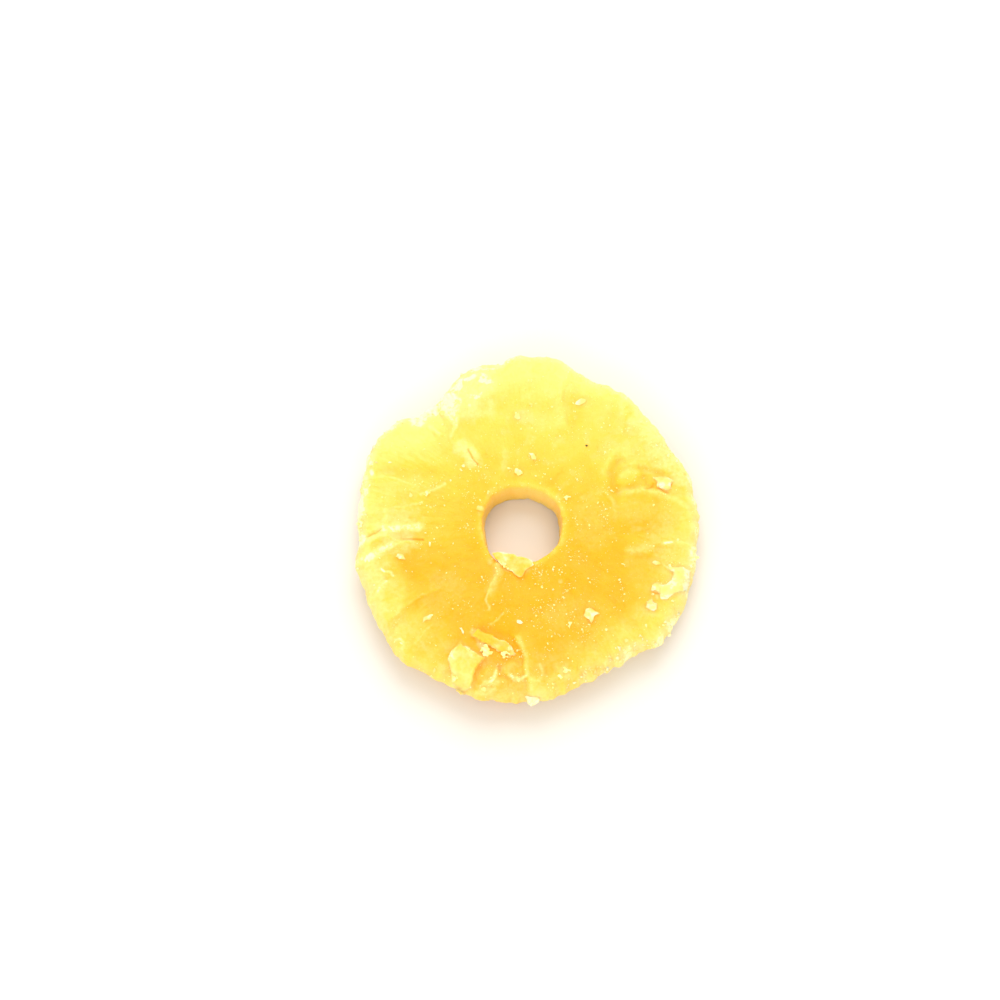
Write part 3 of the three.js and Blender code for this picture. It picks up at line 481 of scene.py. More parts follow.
def near_line(x, y, line):
    """How far points lie from a line, on which side (+1 is its left), and how far past its ends."""
    best, side, past = np.full(np.shape(x), np.inf), np.ones(np.shape(x)), np.zeros(np.shape(x))
    for k, ((ax, ay), (bx, by)) in enumerate(zip(line, line[1:])):
        length = math.hypot(bx - ax, by - ay)
        dx, dy = (bx - ax) / length, (by - ay) / length
        along = (x - ax) * dx + (y - ay) * dy
        held = np.clip(along, 0.0, length)
        away = np.hypot(x - ax - dx * held, y - ay - dy * held)
        off_end = ((k == 0) & (along < 0)) | ((k == len(line) - 2) & (along > length))
        closer = away < best
        side = np.where(closer, np.where(dx * (y - ay) - dy * (x - ax) < 0, -1.0, 1.0), side)
        past = np.where(closer, np.where(off_end, np.abs(along - held), 0.0), past)
        best = np.minimum(best, away)
    return best, side, past


def ahead(x, y, middle, facing):
    """How far points lie ahead of a middle, the way that it faces."""
    turn = math.radians(facing)
    return (x - middle[0]) * math.cos(turn) + (y - middle[1]) * math.sin(turn)


def oval(x, y, middle, half, turn):
    """Distance from an oval's middle, 1 at its edge."""
    c, s = math.cos(math.radians(turn)), math.sin(math.radians(turn))
    dx, dy = x - middle[0], y - middle[1]
    return np.hypot((dx * c + dy * s) / half[0], (dy * c - dx * s) / half[1])


def inside(x, y, outline):
    """How far points lie inside a closed outline, and less than 0 outside it."""
    away = near_line(x, y, (*outline, outline[0]))[0]
    within = np.zeros(np.shape(x), dtype=bool)
    for (ax, ay), (bx, by) in zip(outline, outline[1:] + outline[:1]):
        if ay != by:
            within ^= ((ay > y) != (by > y)) & (x < ax + (y - ay) * (bx - ax) / (by - ay))
    return np.where(within, away, -away)


def spread(x, y, areas, edge, ragged):
    """The strongest of some oval areas with ragged edges, from 0 to 1."""
    best = np.zeros(np.shape(x))
    tear = ragged * uneven(x, y, 31, (1, 1.9), (0.6, 0.8))
    for strength, middle, half, turn in areas:
        covered = ease((1 + edge / 2 - oval(x, y, middle, half, turn) - tear) / edge)
        best = np.maximum(best, strength * covered)
    return best


# ---------------------------------------------------------------- the cut face and the skin


def wandered(x, y):
    """Points moved a little, so that a line drawn through them isn't quite even."""
    return tuple(along + uneven(x, y, seed, (0.22, 2.6), (0.12, 0.9)) for along, seed in ((x, 21), (y, 23)))


def plate_share(x, y, outline, soft):
    """1 on a torn plate and 0 off it, with its ragged edge between."""
    ragged = uneven(x, y, 25, (0.16, 0.8), (0.1, 0.4))
    return ease(0.5 + (inside(x, y, outline) + ragged) / (2 * soft))


def patch_share(x, y, middle, half, turn, edge):
    """1 in the middle of a swelling or hollow and 0 outside it."""
    torn = 0.15 * noise(x * 0.6, y * 0.6, 5)
    return ease((1 + edge / 2 - oval(x, y, middle, half, turn) - torn) / edge)


def step_share(x, y, soft, reach, line):
    """1 just on the raised side of an edge, dying away from it, and 0 on the other side."""
    away, side, past = near_line(x, y, line)
    return ease(0.5 + side * away / (2 * soft)) * hill(away, reach) * hill(past, 1.5)


def face_height(x, y):
    """Height of the cut face above the table."""
    far = np.hypot(x, y) / RADIUS
    z = THICKNESS - DISH / 2 + DISH * ease(far * 1.25 - 0.25)
    z = z + uneven(x, y, 1, (0.32, 9), (0.14, 3.6))
    for height, middle, half, turn, edge, _ in PATCHES:
        z = z + height * patch_share(x, y, middle, half, turn, edge)
    wx, wy = wandered(x, y)
    for depth, width, line in FOLDS:
        z = z - depth * hill(near_line(wx, wy, line)[0], width)
    for height, width, _, line in RIDGES:
        z = z + height * hill(near_line(wx, wy, line)[0], width)
    for height, soft, reach, _, line in STEPS:
        z = z + height * step_share(wx, wy, soft, reach, line)
    for outline, rise, soft, tip, facing, _, _ in PLATES:
        along = ahead(x, y, np.mean(outline, axis=0), facing)
        z = z + (rise + along * math.tan(math.radians(tip))) * plate_share(wx, wy, outline, soft)
    for depth, width, line in CRACKS:
        z = z - depth * np.clip(1 - near_line(wx, wy, line)[0] / width, 0, 1) ** 0.7
    return z


def dryness(x, y):
    """How pale and dry the cut face is, from 0 to 1."""
    wx, wy = wandered(x, y)
    best = spread(x, y, FROST, edge=1, ragged=0.3)
    for _, width, pale, line in RIDGES:
        best = np.maximum(best, pale * hill(near_line(wx, wy, line)[0], 1.15 * width))
    for outline, _, soft, _, _, pale, _ in PLATES:
        best = np.maximum(best, pale * plate_share(wx, wy, outline, 0.08 + soft))
    return best


def back_height(x, y, share):
    """Height of the underside, which is pressed flat where it rests and curls up at its edges."""
    curl = FOOT_LIFT * (np.maximum(0, share - 0.68) / 0.32 + np.maximum(0, 0.22 - share) / 0.5)
    return np.maximum(0, curl + uneven(x, y, 3, (0.5, 7), (0.2, 2.8)) - 0.35)


def corner(t):
    """How far a rounded corner has risen and run at t."""
    quarter = t * math.pi / 2
    return np.sin(quarter) ** 0.9, 1 - np.cos(quarter) ** 0.9


def section(stretch, t, width):
    """Share of the way from hole to rim, and of the way up, at t along a stretch of the section."""
    rise, run = corner(t)
    drop, back = corner(1 - t)
    return {
        "back": (mix(0.8 / width, 1 - RIM_ROUND_BASE / width, t), 0 * t),
        "rim_low": (1 + RIM_ROUND_BASE / width * (rise - 1), RIM_WAIST * run),
        "rim_high": (1 + RIM_ROUND_TOP / width * (drop - 1), 1 - (1 - RIM_WAIST) * back),
        "front": (mix(1 - RIM_ROUND_TOP / width, HOLE_ROUND / width, t), 1 + 0 * t),
        "hole_high": (HOLE_ROUND / width * (1 - rise), 1 - 0.14 * run),
        "wall": (0 * t, mix(0.86, 0.1, t)),
        "hole_low": (0.8 / width * run, 0.1 * (1 - rise)),
    }[stretch]


def skin(degrees, stretch, t):
    """Points of the bare skin, in millimetres, with their share of the way out and up."""
    c, s = np.cos(np.radians(degrees)), np.sin(np.radians(degrees))
    rim = radius_at(RIM, degrees) + 0.22 * noise(c * 9 + 20, s * 9 + 20, 6)
    rim = rim + 0.16 * noise(c * 24 + 40, s * 24 + 40, 7) + 0.07 * noise(c * 60 + 90, s * 60 + 90, 9)
    teeth = ease((24 - np.abs(np.mod(degrees, 360.0) - 306)) / 10)
    rim = rim + 0.35 * teeth * np.maximum(0, noise(degrees / 0.9, 0 * degrees, 12)) ** 0.7
    core = radius_at(CORE, degrees) + 0.14 * noise(c * 8 + 60, s * 8 + 60, 10)
    width = rim - core
    share, high = section(stretch, t, width)
    hole = core * (1 - HOLE_TAPER * (1 - high)) + 0.25 * noise(degrees / 20, high * 3, 8) * (1 - high)
    x = mix(HOLE_CENTRE[0] + hole * c, rim * c, share)
    y = mix(HOLE_CENTRE[1] + hole * s, rim * s, share)
    z = mix(back_height(x, y, share), face_height(x, y), high)
    return np.stack([x, y, z], axis=-1), share + 0 * x, high + 0 * x


def wrapped_normals(points):
    """Outward normals of a grid of points that closes on itself both ways."""
    around = np.roll(points, -1, axis=0) - np.roll(points, 1, axis=0)
    along = np.roll(points, -1, axis=1) - np.roll(points, 1, axis=1)
    normal = np.cross(around, along)
    return normal / np.maximum(np.linalg.norm(normal, axis=-1, keepdims=True), 1e-9)


def flesh_detail(points, degrees, share, high, frost):
    """How far the flesh stands off its bare skin: fibres, crust and fine unevenness."""
    rim = ease((share - 0.72) / 0.24)
    reach = np.hypot(points[..., 0], points[..., 1])
    fibre = noise(degrees / 1.9, reach / 7 + points[..., 2] / 5, 41)
    fibre = fibre + 0.6 * noise(degrees / 0.8, reach / 4 + points[..., 2] / 3, 42)
    rough = 0.35 + 0.35 * frost + 0.55 * rim
    crust = layered(points, 1.5, 51) * 0.085 * rough + layered(points, 4.2, 52) * 0.10
    pits = -0.16 * ease((layered(points, 0.9, 53) - 0.55) / 0.5) * rough
    flutes = uneven(degrees, 0 * degrees, 43, (0.3, 5.2), (0.12, 2.1)) * 4 * high * (1 - high)
    return crust + pits + 0.05 * fibre * (0.35 + rim) + flutes * ease((share - 0.5) / 0.3)


# ---------------------------------------------------------------- meshes


def new_piece(name, points, faces, finish, scale, smooth=True, marks=None):
    """A mesh object in the scene, from points in millimetres, with float marks at its points."""
    mesh = bpy.data.meshes.new(name)
    mesh.from_pydata(((np.asarray(points) - MIDDLE) * scale).tolist(), [], faces)
    for mark, values in (marks or {}).items():
        mesh.attributes.new(mark, "FLOAT", "POINT").data.foreach_set("value", np.ravel(values))
    mesh.polygons.foreach_set("use_smooth", [smooth] * len(mesh.polygons))
    mesh.materials.append(finish)
    mesh.validate()
    mesh.update()
    piece = bpy.data.objects.new(name, mesh)
    bpy.context.scene.collection.objects.link(piece)
    return piece


def grid_faces(rows, columns):
    """Quads of a grid of points that closes on itself both ways, facing out."""
    i, j = np.meshgrid(np.arange(rows), np.arange(columns), indexing="ij")
    next_i, next_j = (i + 1) % rows, (j + 1) % columns
    quads = [i * columns + j, next_i * columns + j, next_i * columns + next_j, i * columns + next_j]
    return np.stack(quads, axis=-1).reshape(-1, 4).tolist()


def belongs(piece):
    """Every piece of the ring rides on its one body."""
    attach(piece, "root")


def surface_height(x, y, scale, piece="ring_flesh"):
    """Height of a finished piece above the table at a place, in millimetres."""
    start = (Vector((x, y, PROBE_FROM)) - Vector(MIDDLE)) * scale
    hit, spot, _, _ = bpy.data.objects[piece].ray_cast(start, Vector((0.0, 0.0, -1.0)))
    return spot.z / scale if hit else THICKNESS * RIM_WAIST


def top_height(x, y, scale):
    """Height of the flesh, or of a torn flake that lies on it."""
    return max(surface_height(x, y, scale, piece) for piece in ("ring_flesh", "torn_flakes"))


def flesh_slope(x, y, scale):
    """How steeply the finished flesh rises at a place, in degrees, and towards which side."""
    step = 0.7
    rise = [
        (surface_height(x + dx, y + dy, scale) - surface_height(x - dx, y - dy, scale)) / (2 * step)
        for dx, dy in ((step, 0), (0, step))
    ]
    return math.degrees(math.atan(math.hypot(*rise))), math.degrees(math.atan2(rise[1], rise[0]))


def rim_spot(angle, high, scale):
    """A point of the finished flesh, in millimetres, so far up the rim's upper rounding."""
    column = SPANS["back"] + SPANS["rim_low"] + int(high * SPANS["rim_high"])
    row = int(angle / 360 * AROUND) % AROUND
    spot = bpy.data.objects["ring_flesh"].data.vertices[row * sum(SPANS.values()) + column].co
    return tuple(np.array(spot) / scale + MIDDLE)


def flesh_points():
    """The finished skin on its grid, with the marks that its finish and its sugar read."""
    degrees = np.arange(AROUND) * 360.0 / AROUND
    blocks = []
    for stretch, spans in SPANS.items():
        angle, t = np.meshgrid(degrees, np.arange(spans) / spans, indexing="ij")
        points, share, high = skin(angle, stretch, t)
        blocks.append((points, angle, share, high))
    points, angle, share, high = (np.concatenate(part, axis=1) for part in zip(*blocks))
    x, y = points[..., 0], points[..., 1]
    frost = frost_at(x, y, angle, share, high)
    normals = wrapped_normals(points)
    points = points + normals * flesh_detail(points, angle, share, high, frost)[..., None]
    points[..., 2] = np.maximum(points[..., 2], 0.0)
    facing_up = np.clip(wrapped_normals(points)[..., 2], 0, 1)
    patchy = 0.1 + 0.9 * ease(0.15 + uneven(x, y, 71, (1.3, 2.2), (0.7, 0.8)))
    thick = 0.12 + 0.88 * spread(x, y, SUGARED, edge=1.2, ragged=0.3)
    return points, {
        "frost": frost,
        "tone": tone_and_painted_light_at(x, y, share, high),
        "sugar": thick * patchy * ease(facing_up * 1.6 - 0.1),
        "rim": ease((share - 0.8) / 0.2),
        "streak": spread(x, y, STREAKED, edge=1, ragged=0.2),
    }


def frost_at(x, y, angle, share, high):
    """How dry the skin is: the face's dry places, its bloom, and the edges of the rim and the hole."""
    clouds = uneven(x, y, 81, (1, 2.4), (0.6, 1.1))
    band = ease((share - 0.56) / 0.24) * (0.18 + 0.12 * ease((8 - y) / 16)) * (0.95 + 0.4 * clouds)
    bloom = ease((clouds - 0.05) / 0.9) * (0.14 + 0.16 * ease((x + y) / 20))
    face = np.maximum(dryness(x, y), np.maximum(band, bloom)) * ease(high * 3 - 0.6)
    rim_edge = radius_at(RIM_FROST, angle) * ease((share - 0.87) / 0.11)
    rim_edge = rim_edge * (0.8 + 0.5 * noise(x / 2.2, y / 2.2, 63)) * (0.55 + 0.45 * ease(2.5 * high - 0.5))
    hole_edge = ease((0.07 - share + 0.05 * noise(x / 1.6, y / 1.6, 64)) / 0.06) * ease(8 * high - 6.8)
    hole_edge = hole_edge * (0.28 + 0.15 * ease((x + 4) / 6)) * (0.75 + 0.75 * noise(x / 1.3, y / 1.3, 65))
    return np.maximum(face, np.maximum(rim_edge, hole_edge))


def tone_and_painted_light_at(x, y, share, high):
    """From 0 in the golden middle to 1 in the pale rim and in the lemon top, whose lemon is painted light; it
    also holds painted shade in folds, cracks and some hollows, and painted light on the hole's wall.
    """
    # Painted light: the tone rises towards the top and the upper left, as the light from behind brightens
    # them.
    tone = 0.02 + 0.72 * ease((y + 12) / 38) + 0.32 * ease((-x - 8) / 18) * ease((y + 12) / 10)
    # Partly painted light: the rim's paleness is raised at the lower right to offset its shade.
    rim = radius_at(RIM_PALENESS, np.degrees(np.arctan2(y, x)))
    tone = tone + ease((np.hypot(x, y) - 25) / 9) * rim
    # Partly painted shade: patches with a paler value below 0 make hollows more golden.
    for _, middle, half, turn, edge, paler in PATCHES:
        tone = tone + paler * patch_share(x, y, middle, half, turn, edge)
    for _, soft, reach, paler, line in STEPS:
        tone = tone + paler * step_share(x, y, soft, reach, line)
    wx, wy = wandered(x, y)
    # Painted shade: the flesh is made more golden along the folds.
    for depth, width, line in FOLDS:
        tone = tone - 0.15 * depth * hill(near_line(wx, wy, line)[0], 1.1 * width)
    # Painted shade: the cracks are darkened.
    for depth, width, line in CRACKS:
        tone = tone - 0.6 * depth * hill(near_line(wx, wy, line)[0], width)
    tone = tone + 0.22 * ease((share - 0.88) / 0.1)
    core = ease((0.06 - share) / 0.05) * (0.22 + 0.12 * ease((x + 4) / 8))
    # Painted light: the hole's wall is made paler to stand in for light that the shaded hole doesn't get.
    wall = 0.16 * ease((0.95 - high) / 0.2) * ease((0.1 - share) / 0.1)
    return np.clip(tone + core + wall, 0, 1)


def torn_edge(outline, throw, seed, step=0.35):
    """An outline whose edge is torn, with points about a step apart."""
    torn = []
    for (ax, ay), (bx, by) in zip(outline, outline[1:] + outline[:1]):
        length = math.hypot(bx - ax, by - ay)
        count = max(1, round(length / step))
        for k in range(count):
            x, y = mix(ax, bx, k / count), mix(ay, by, k / count)
            off = throw * float(uneven(x, y, seed, (1, 1.4), (0.7, 0.55)))
            torn.append((x + off * (by - ay) / length, y - off * (bx - ax) / length))
    return torn


def slab(outline, level, thick, tip, facing):
    """A closed slab from its outline; its top lies level at the middle and rises the way it faces."""
    middle, slope = np.mean(outline, axis=0), math.tan(math.radians(tip))
    rise = [slope * ahead(x, y, middle, facing) for x, y in outline]
    top = [(x, y, level + up) for (x, y), up in zip(outline, rise)]
    base = [(x, y, level + up - thick) for (x, y), up in zip(outline, rise)]
    n = len(outline)
    faces = [tuple(range(n)), tuple(reversed(range(n, 2 * n)))]
    faces += [(k, n + k, n + (k + 1) % n, (k + 1) % n) for k in range(n)]
    return np.array(top + base), faces


def sheet(outline, thick, seed, scale, step=0.16):
    """A closed thin sheet with a torn edge that lies along the finished flesh."""
    low, high = np.min(outline, axis=0) - 0.3, np.max(outline, axis=0) + 0.3
    x, y = np.meshgrid(*(np.arange(low[k], high[k], step) for k in range(2)), indexing="ij")
    into = inside(x, y, outline) + uneven(x, y, seed, (0.16, 0.8), (0.08, 0.35))
    cells = (into[:-1, :-1] > 0) & (into[1:, :-1] > 0) & (into[1:, 1:] > 0) & (into[:-1, 1:] > 0)
    corners, top, base, faces = {}, [], [], []

    def corner_at(i, j):
        if (i, j) not in corners:
            corners[i, j] = len(top)
            ground = surface_height(float(x[i, j]), float(y[i, j]), scale)
            top.append((x[i, j], y[i, j], ground + thick * (0.5 + 0.5 * ease(into[i, j] / 0.3))))
            base.append((x[i, j], y[i, j], ground - 0.3))
        return corners[i, j]

    for i, j in np.argwhere(cells).tolist():
        around = [corner_at(i, j), corner_at(i + 1, j), corner_at(i + 1, j + 1), corner_at(i, j + 1)]
        faces += [(*around, "top"), (*reversed(around), "base")]
        beside = ((i, j - 1), (i + 1, j), (i, j + 1), (i - 1, j))
        for k, (u, v) in enumerate(beside):
            if not (0 <= u < cells.shape[0] and 0 <= v < cells.shape[1] and cells[u, v]):
                faces.append((around[(k + 1) % 4], around[k], around[k], around[(k + 1) % 4], "side"))
    n = len(top)
    down = {"top": (0, 0, 0, 0), "base": (n, n, n, n), "side": (0, 0, n, n)}
    return np.array(top + base), [tuple(map(sum, zip(face, down[face[4]]))) for face in faces]


def melted(parts, voxel, throw, seed):
    """Closed shapes grown into one skin, which is then roughened by up to about throw."""
    mesh = bpy.data.meshes.new("parts")
    points, faces = joined(parts)
    mesh.from_pydata(points.tolist(), [], faces)
    body = bpy.data.objects.new("parts", mesh)
    bpy.context.scene.collection.objects.link(body)
    remesh = body.modifiers.new("Grow", "REMESH")
    remesh.mode = "VOXEL"
    remesh.voxel_size = voxel
    skin_mesh = body.evaluated_get(bpy.context.evaluated_depsgraph_get()).to_mesh()
    grown = np.empty(len(skin_mesh.vertices) * 3)
    skin_mesh.vertices.foreach_get("co", grown)
    normals = np.empty(len(grown))
    skin_mesh.vertex_normals.foreach_get("vector", normals)
    faces = [tuple(face.vertices) for face in skin_mesh.polygons]
    bpy.data.objects.remove(body)
    grown, normals = grown.reshape(-1, 3), normals.reshape(-1, 3)
    rough = throw * (layered(grown, 0.9, seed) + 0.6 * layered(grown, 2.4, seed + 9))
    return grown + normals * rough[:, None], faces


def joined(parts):
    """Several closed shapes as one list of points and faces."""
    points, faces, start = [], [], 0
    for part_points, part_faces in parts:
        points.append(part_points)
        faces += [tuple(start + v for v in face) for face in part_faces]
        start += len(part_points)
    return np.concatenate(points), faces


def crust_marks(points, dry, flakes=()):
    """Marks of a torn or crusted piece: how dry it is, most of all along its flakes' edges, where the pale
    band is partly dried crust and partly a painted highlight, and its tone.
    """
    x, y = points[:, 0], points[:, 1]
    for outline, *_, pale in flakes:
        into = inside(x, y, outline)
        # Partly a painted highlight: a pale band along each flake's edge.
        edge = min(0.25 + pale, 0.8) * hill(into, 0.34)
        dry = np.maximum(dry, np.maximum(pale * ease(2 * into + 1.5), edge))
    frost = np.clip(dry + uneven(x, y, 71, (0.4, 1.7), (0.2, 0.7)), 0, 1)
    share, none = np.clip(np.hypot(x, y) / RADIUS, 0, 1), 0 * x
    return {"frost": frost, "tone": tone_and_painted_light_at(x, y, share, none), "rim": none, "sugar": none, "streak": none}


def crystal(middle, size, seed, corners=11):
    """One sugar crystal: the hull of a few seeded points."""
    n = seed * 97 + np.arange(corners * 3)
    spots = (draw(n).reshape(corners, 3) - 0.5) * 2
    spots /= np.maximum(np.abs(spots).max(axis=1, keepdims=True), 1e-6) ** 0.7
    body = bmesh.new()
    for spot in spots:
        body.verts.new(Vector(spot * np.array(size) / 2 + np.array(middle)))
    hull = bmesh.ops.convex_hull(body, input=body.verts)
    bmesh.ops.delete(body, geom=[v for v in hull["geom_interior"] if isinstance(v, bmesh.types.BMVert)])
    bmesh.ops.recalc_face_normals(body, faces=body.faces)
    body.verts.index_update()
    points = np.array([v.co[:] for v in body.verts])
    faces = [tuple(v.index for v in face.verts) for face in body.faces]
    body.free()
    return points, faces


def clump(middle, size, count, seed):
    """Crystals grown together round a point."""
    parts = []
    for k in range(count):
        a, b, c, d = draw(seed * 31 + k * 4 + np.arange(4))
        reach, turn = size * 0.45 * a**0.6, FULL_TURN * b
        grain = size * mix(0.22, 0.50, c**1.5) * (1 if k else 1.3)
        at = (
            middle[0] + reach * math.cos(turn),
            middle[1] + reach * math.sin(turn),
            middle[2] + 0.22 * size * (1 - a) * d,
        )
        parts.append(crystal(at, (grain, grain * mix(0.7, 1, d), grain * 0.7), seed * 50 + k))
    return joined(parts)


# ---------------------------------------------------------------- nodes and shader expressions


def find_socket(sockets, key):
    """A node's socket by its number, identifier or name."""
    if isinstance(key, int):
        return sockets[key]
    return next(socket for socket in sockets if socket.enabled and key in (socket.identifier, socket.name))


def add_node(tree, kind, settings, values):
    """Any node, with its settings made first, and its sockets' values or links."""
    made = tree.nodes.new(kind)
    for setting, value in settings.items():
        if setting == "stops":
            set_stops(made.color_ramp, value)
        else:
            setattr(made, setting, value)
    for key, value in values.items():
        socket = find_socket(made.inputs, key)
        if isinstance(value, bpy.types.NodeSocket):
            tree.links.new(value, socket)
        else:
            socket.default_value = value
    return made


def set_stops(ramp, stops):
    """A colour ramp's stops, each a place and a colour."""
    while len(ramp.elements) < len(stops):
        ramp.elements.new(1.0)
    for element, (place, colour) in zip(ramp.elements, stops):
        element.position = place
        element.color = (*colour, 1.0)


def sum_node(operation, swapped=False):
    """A Python operator that adds a Math node, with its two sides swapped in a reflected form."""
    def apply(self, other):
        first, second = (other, self) if swapped else (self, other)
        return self.finish.node("ShaderNodeMath", {"operation": operation}, {0: first, 1: second})

    return apply


class Term:
    """A shader socket that takes part in Python sums."""

    def __init__(self, finish, socket):
        self.finish = finish
        self.socket = socket

    __add__ = __radd__ = sum_node("ADD")
    __mul__ = __rmul__ = sum_node("MULTIPLY")
    __sub__ = sum_node("SUBTRACT")
    __rsub__ = sum_node("SUBTRACT", swapped=True)
    __truediv__ = sum_node("DIVIDE")
    __rtruediv__ = sum_node("DIVIDE", swapped=True)
    __pow__ = sum_node("POWER")
    __rpow__ = sum_node("POWER", swapped=True)


class Finish:
    """A material whose nodes are made by expressions."""

    def __init__(self, name, constants):
        self.material = bpy.data.materials.new(name)
        self.material.use_nodes = True
        self.tree = self.material.node_tree
        self.shader = self.tree.nodes["Principled BSDF"]
        for socket, value in constants.items():
            self.shader.inputs[socket].default_value = value

    def node(self, kind, settings=None, values=None, output=0):
        """Any node: its type, its settings, its sockets' values or links, and the output wanted."""
        values = {
            key: value.socket if isinstance(value, Term) else value for key, value in (values or {}).items()
        }
        made = add_node(self.tree, kind, settings or {}, values)
        return Term(self, find_socket(made.outputs, output))

    def feed(self, **sockets):
        """Links terms to the shader: base_color is Base Color, and so on."""
        for name, term in sockets.items():
            self.tree.links.new(term.socket, self.shader.inputs[name.replace("_", " ").title()])

    def blend(self, amount, low, high):
        """A colour between two, each a colour or a term."""
        ends = {"A_Color": low, "B_Color": high}
        ends = {key: value if isinstance(value, Term) else (*value, 1.0) for key, value in ends.items()}
        settings = {"data_type": "RGBA", "clamp_factor": True}
        return self.node("ShaderNodeMix", settings, {"Factor_Float": amount, **ends}, "Result_Color")

    def window(self, value, low, high):
        """0 below low, 1 above high and smooth between."""
        settings = {"interpolation_type": "SMOOTHSTEP"}
        return self.node("ShaderNodeMapRange", settings, {"Value": value, "From Min": low, "From Max": high})

    def mark(self, name):
        """A float mark of the mesh's points."""
        return self.node("ShaderNodeAttribute", {"attribute_name": name}, output="Fac")

    def place(self):
        """Where a point is on the piece, in millimetres."""
        spot = self.node("ShaderNodeTexCoord", output="Object")
        return self.node("ShaderNodeVectorMath", {"operation": "SCALE"}, {0: spot, "Scale": 1000.0})

    def cloud(self, place, scale, detail=3.0, rough=0.5):
        """Noise from 0 to 1, with so many hills to the millimetre."""
        values = {"Vector": place, "Scale": scale, "Detail": detail, "Roughness": rough}
        return self.node("ShaderNodeTexNoise", {}, values)

    def cells(self, place, scale, feature):
        """Distances in a pattern of cells, so many to the millimetre."""
        values = {"Vector": place, "Scale": scale}
        return self.node("ShaderNodeTexVoronoi", {"feature": feature}, values, "Distance")

    def relief(self, height, depth):
        """A bump of a depth in millimetres, linked to the shader's normal."""
        values = {"Height": height, "Distance": depth * 0.001, "Strength": 1.0}
        self.feed(normal=self.node("ShaderNodeBump", {}, values))


def flesh_finish(name, colours, depth, paler=0.0, clear=1.0):
    """Waxy flesh that light enters to a depth in metres, with fibres, mottling and a dry crust."""
    made = Finish(name, {
        "Subsurface Weight": clear,
        "Subsurface Radius": (1.0, 0.93, 0.48),
        "Subsurface Scale": depth,
        "IOR": 1.38,
        "Specular IOR Level": 0.2,
        "Coat Roughness": 0.2,
    })
    place = made.place()
    x, y, z = (made.node("ShaderNodeSeparateXYZ", {}, {0: place}, axis) for axis in range(3))
    reach = (x * x + y * y + 0.01) ** 0.5
    mottle = made.cloud(place, 0.22, 4.0, 0.6)
    spokes = {
        "X": x / reach * 46.0 + mottle * 5.0,
        "Y": y / reach * 46.0 - mottle * 4.0,
        "Z": reach * 0.26 + z * 0.3,
    }
    fibre = made.cloud(made.node("ShaderNodeCombineXYZ", {}, spokes), 1.0, 3.0, 0.6)
    grain = made.cloud(place, 1.4, 4.0, 0.6)
    frost, rim, streak = (made.mark(name) for name in ("frost", "rim", "streak"))
    tone = made.mark("tone") + (mottle - 0.5) * 0.36 + (grain - 0.5) * 0.2
    tone = tone + (fibre - 0.5) * (rim * 0.3 + streak * 0.6 + 0.15) + paler
    ripe = made.node("ShaderNodeValToRGB", {"stops": (
        (0.0, colours.deep), (0.3, colours.golden), (0.62, colours.yellow), (1.0, colours.lemon),
    )}, {0: tone})
    seams = made.cells(place, 0.42, "DISTANCE_TO_EDGE")
    islands = made.window(seams + (grain - 0.5) * 0.5, 0.0, 0.14)
    powder = (grain - 0.5) * (frost * 0.7 + 0.12)
    dry = made.window(frost * (islands * 0.18 + 0.85) + powder + rim * 0.06, 0.02, 0.98)
    pale = made.blend(dry, ripe, colours.frost)
    crusted = made.blend(made.window(dry, 0.72, 0.92) * 0.9, pale, colours.sugar)
    crusted = made.blend(made.window(dry, 0.86, 1.0) * 0.8, crusted, colours.white)
    specks = (1.0 - made.window(made.cells(place, 1.9, "F1"), 0.10, 0.20)) * made.window(grain, 0.46, 0.62)
    made.feed(
        base_color=made.blend(specks * (0.7 - dry * 0.7), crusted, colours.lemon),
        roughness=0.36 + dry * 0.24 + (grain - 0.5) * 0.2,
        coat_weight=0.12 - dry * 0.1,
    )
    fine = made.cloud(place, 4.2, 3.0, 0.6)
    height = grain * (0.6 - dry * 0.4) + fibre * 0.3 + fine * (dry * 0.3 + 0.4) + specks * (0.5 - dry * 0.5)
    made.relief(height, 0.30)
    return made.material


def sugar_finish(name, colours):
    """Crystals: bright, faceted and a little clear, tinted by the syrup."""
    made = Finish(name, {
        "Subsurface Weight": 0.2,
        "Subsurface Radius": (1.0, 0.9, 0.6),
        "Subsurface Scale": 0.0003,
        "IOR": 1.5,
    })
    place = made.place()
    cloud = made.cloud(place, 1.3, 2.0)
    made.feed(
        base_color=made.blend(made.window(cloud, 0.35, 0.65), colours.sugar, colours.syrup),
        roughness=0.22 + cloud * 0.2,
    )
    made.relief(made.cloud(place, 5.0, 2.0), 0.05)
    return made.material


def peel_finish(name, colours):
    """A crumb of dark peel."""
    made = Finish(name, {"IOR": 1.4})
    cloud = made.cloud(made.place(), 8.0, 3.0)
    made.feed(base_color=made.blend(cloud, colours.peel, colours.peel_light), roughness=0.6 + cloud * 0.2)
    made.relief(cloud, 0.04)
    return made.material


# ---------------------------------------------------------------- scattering


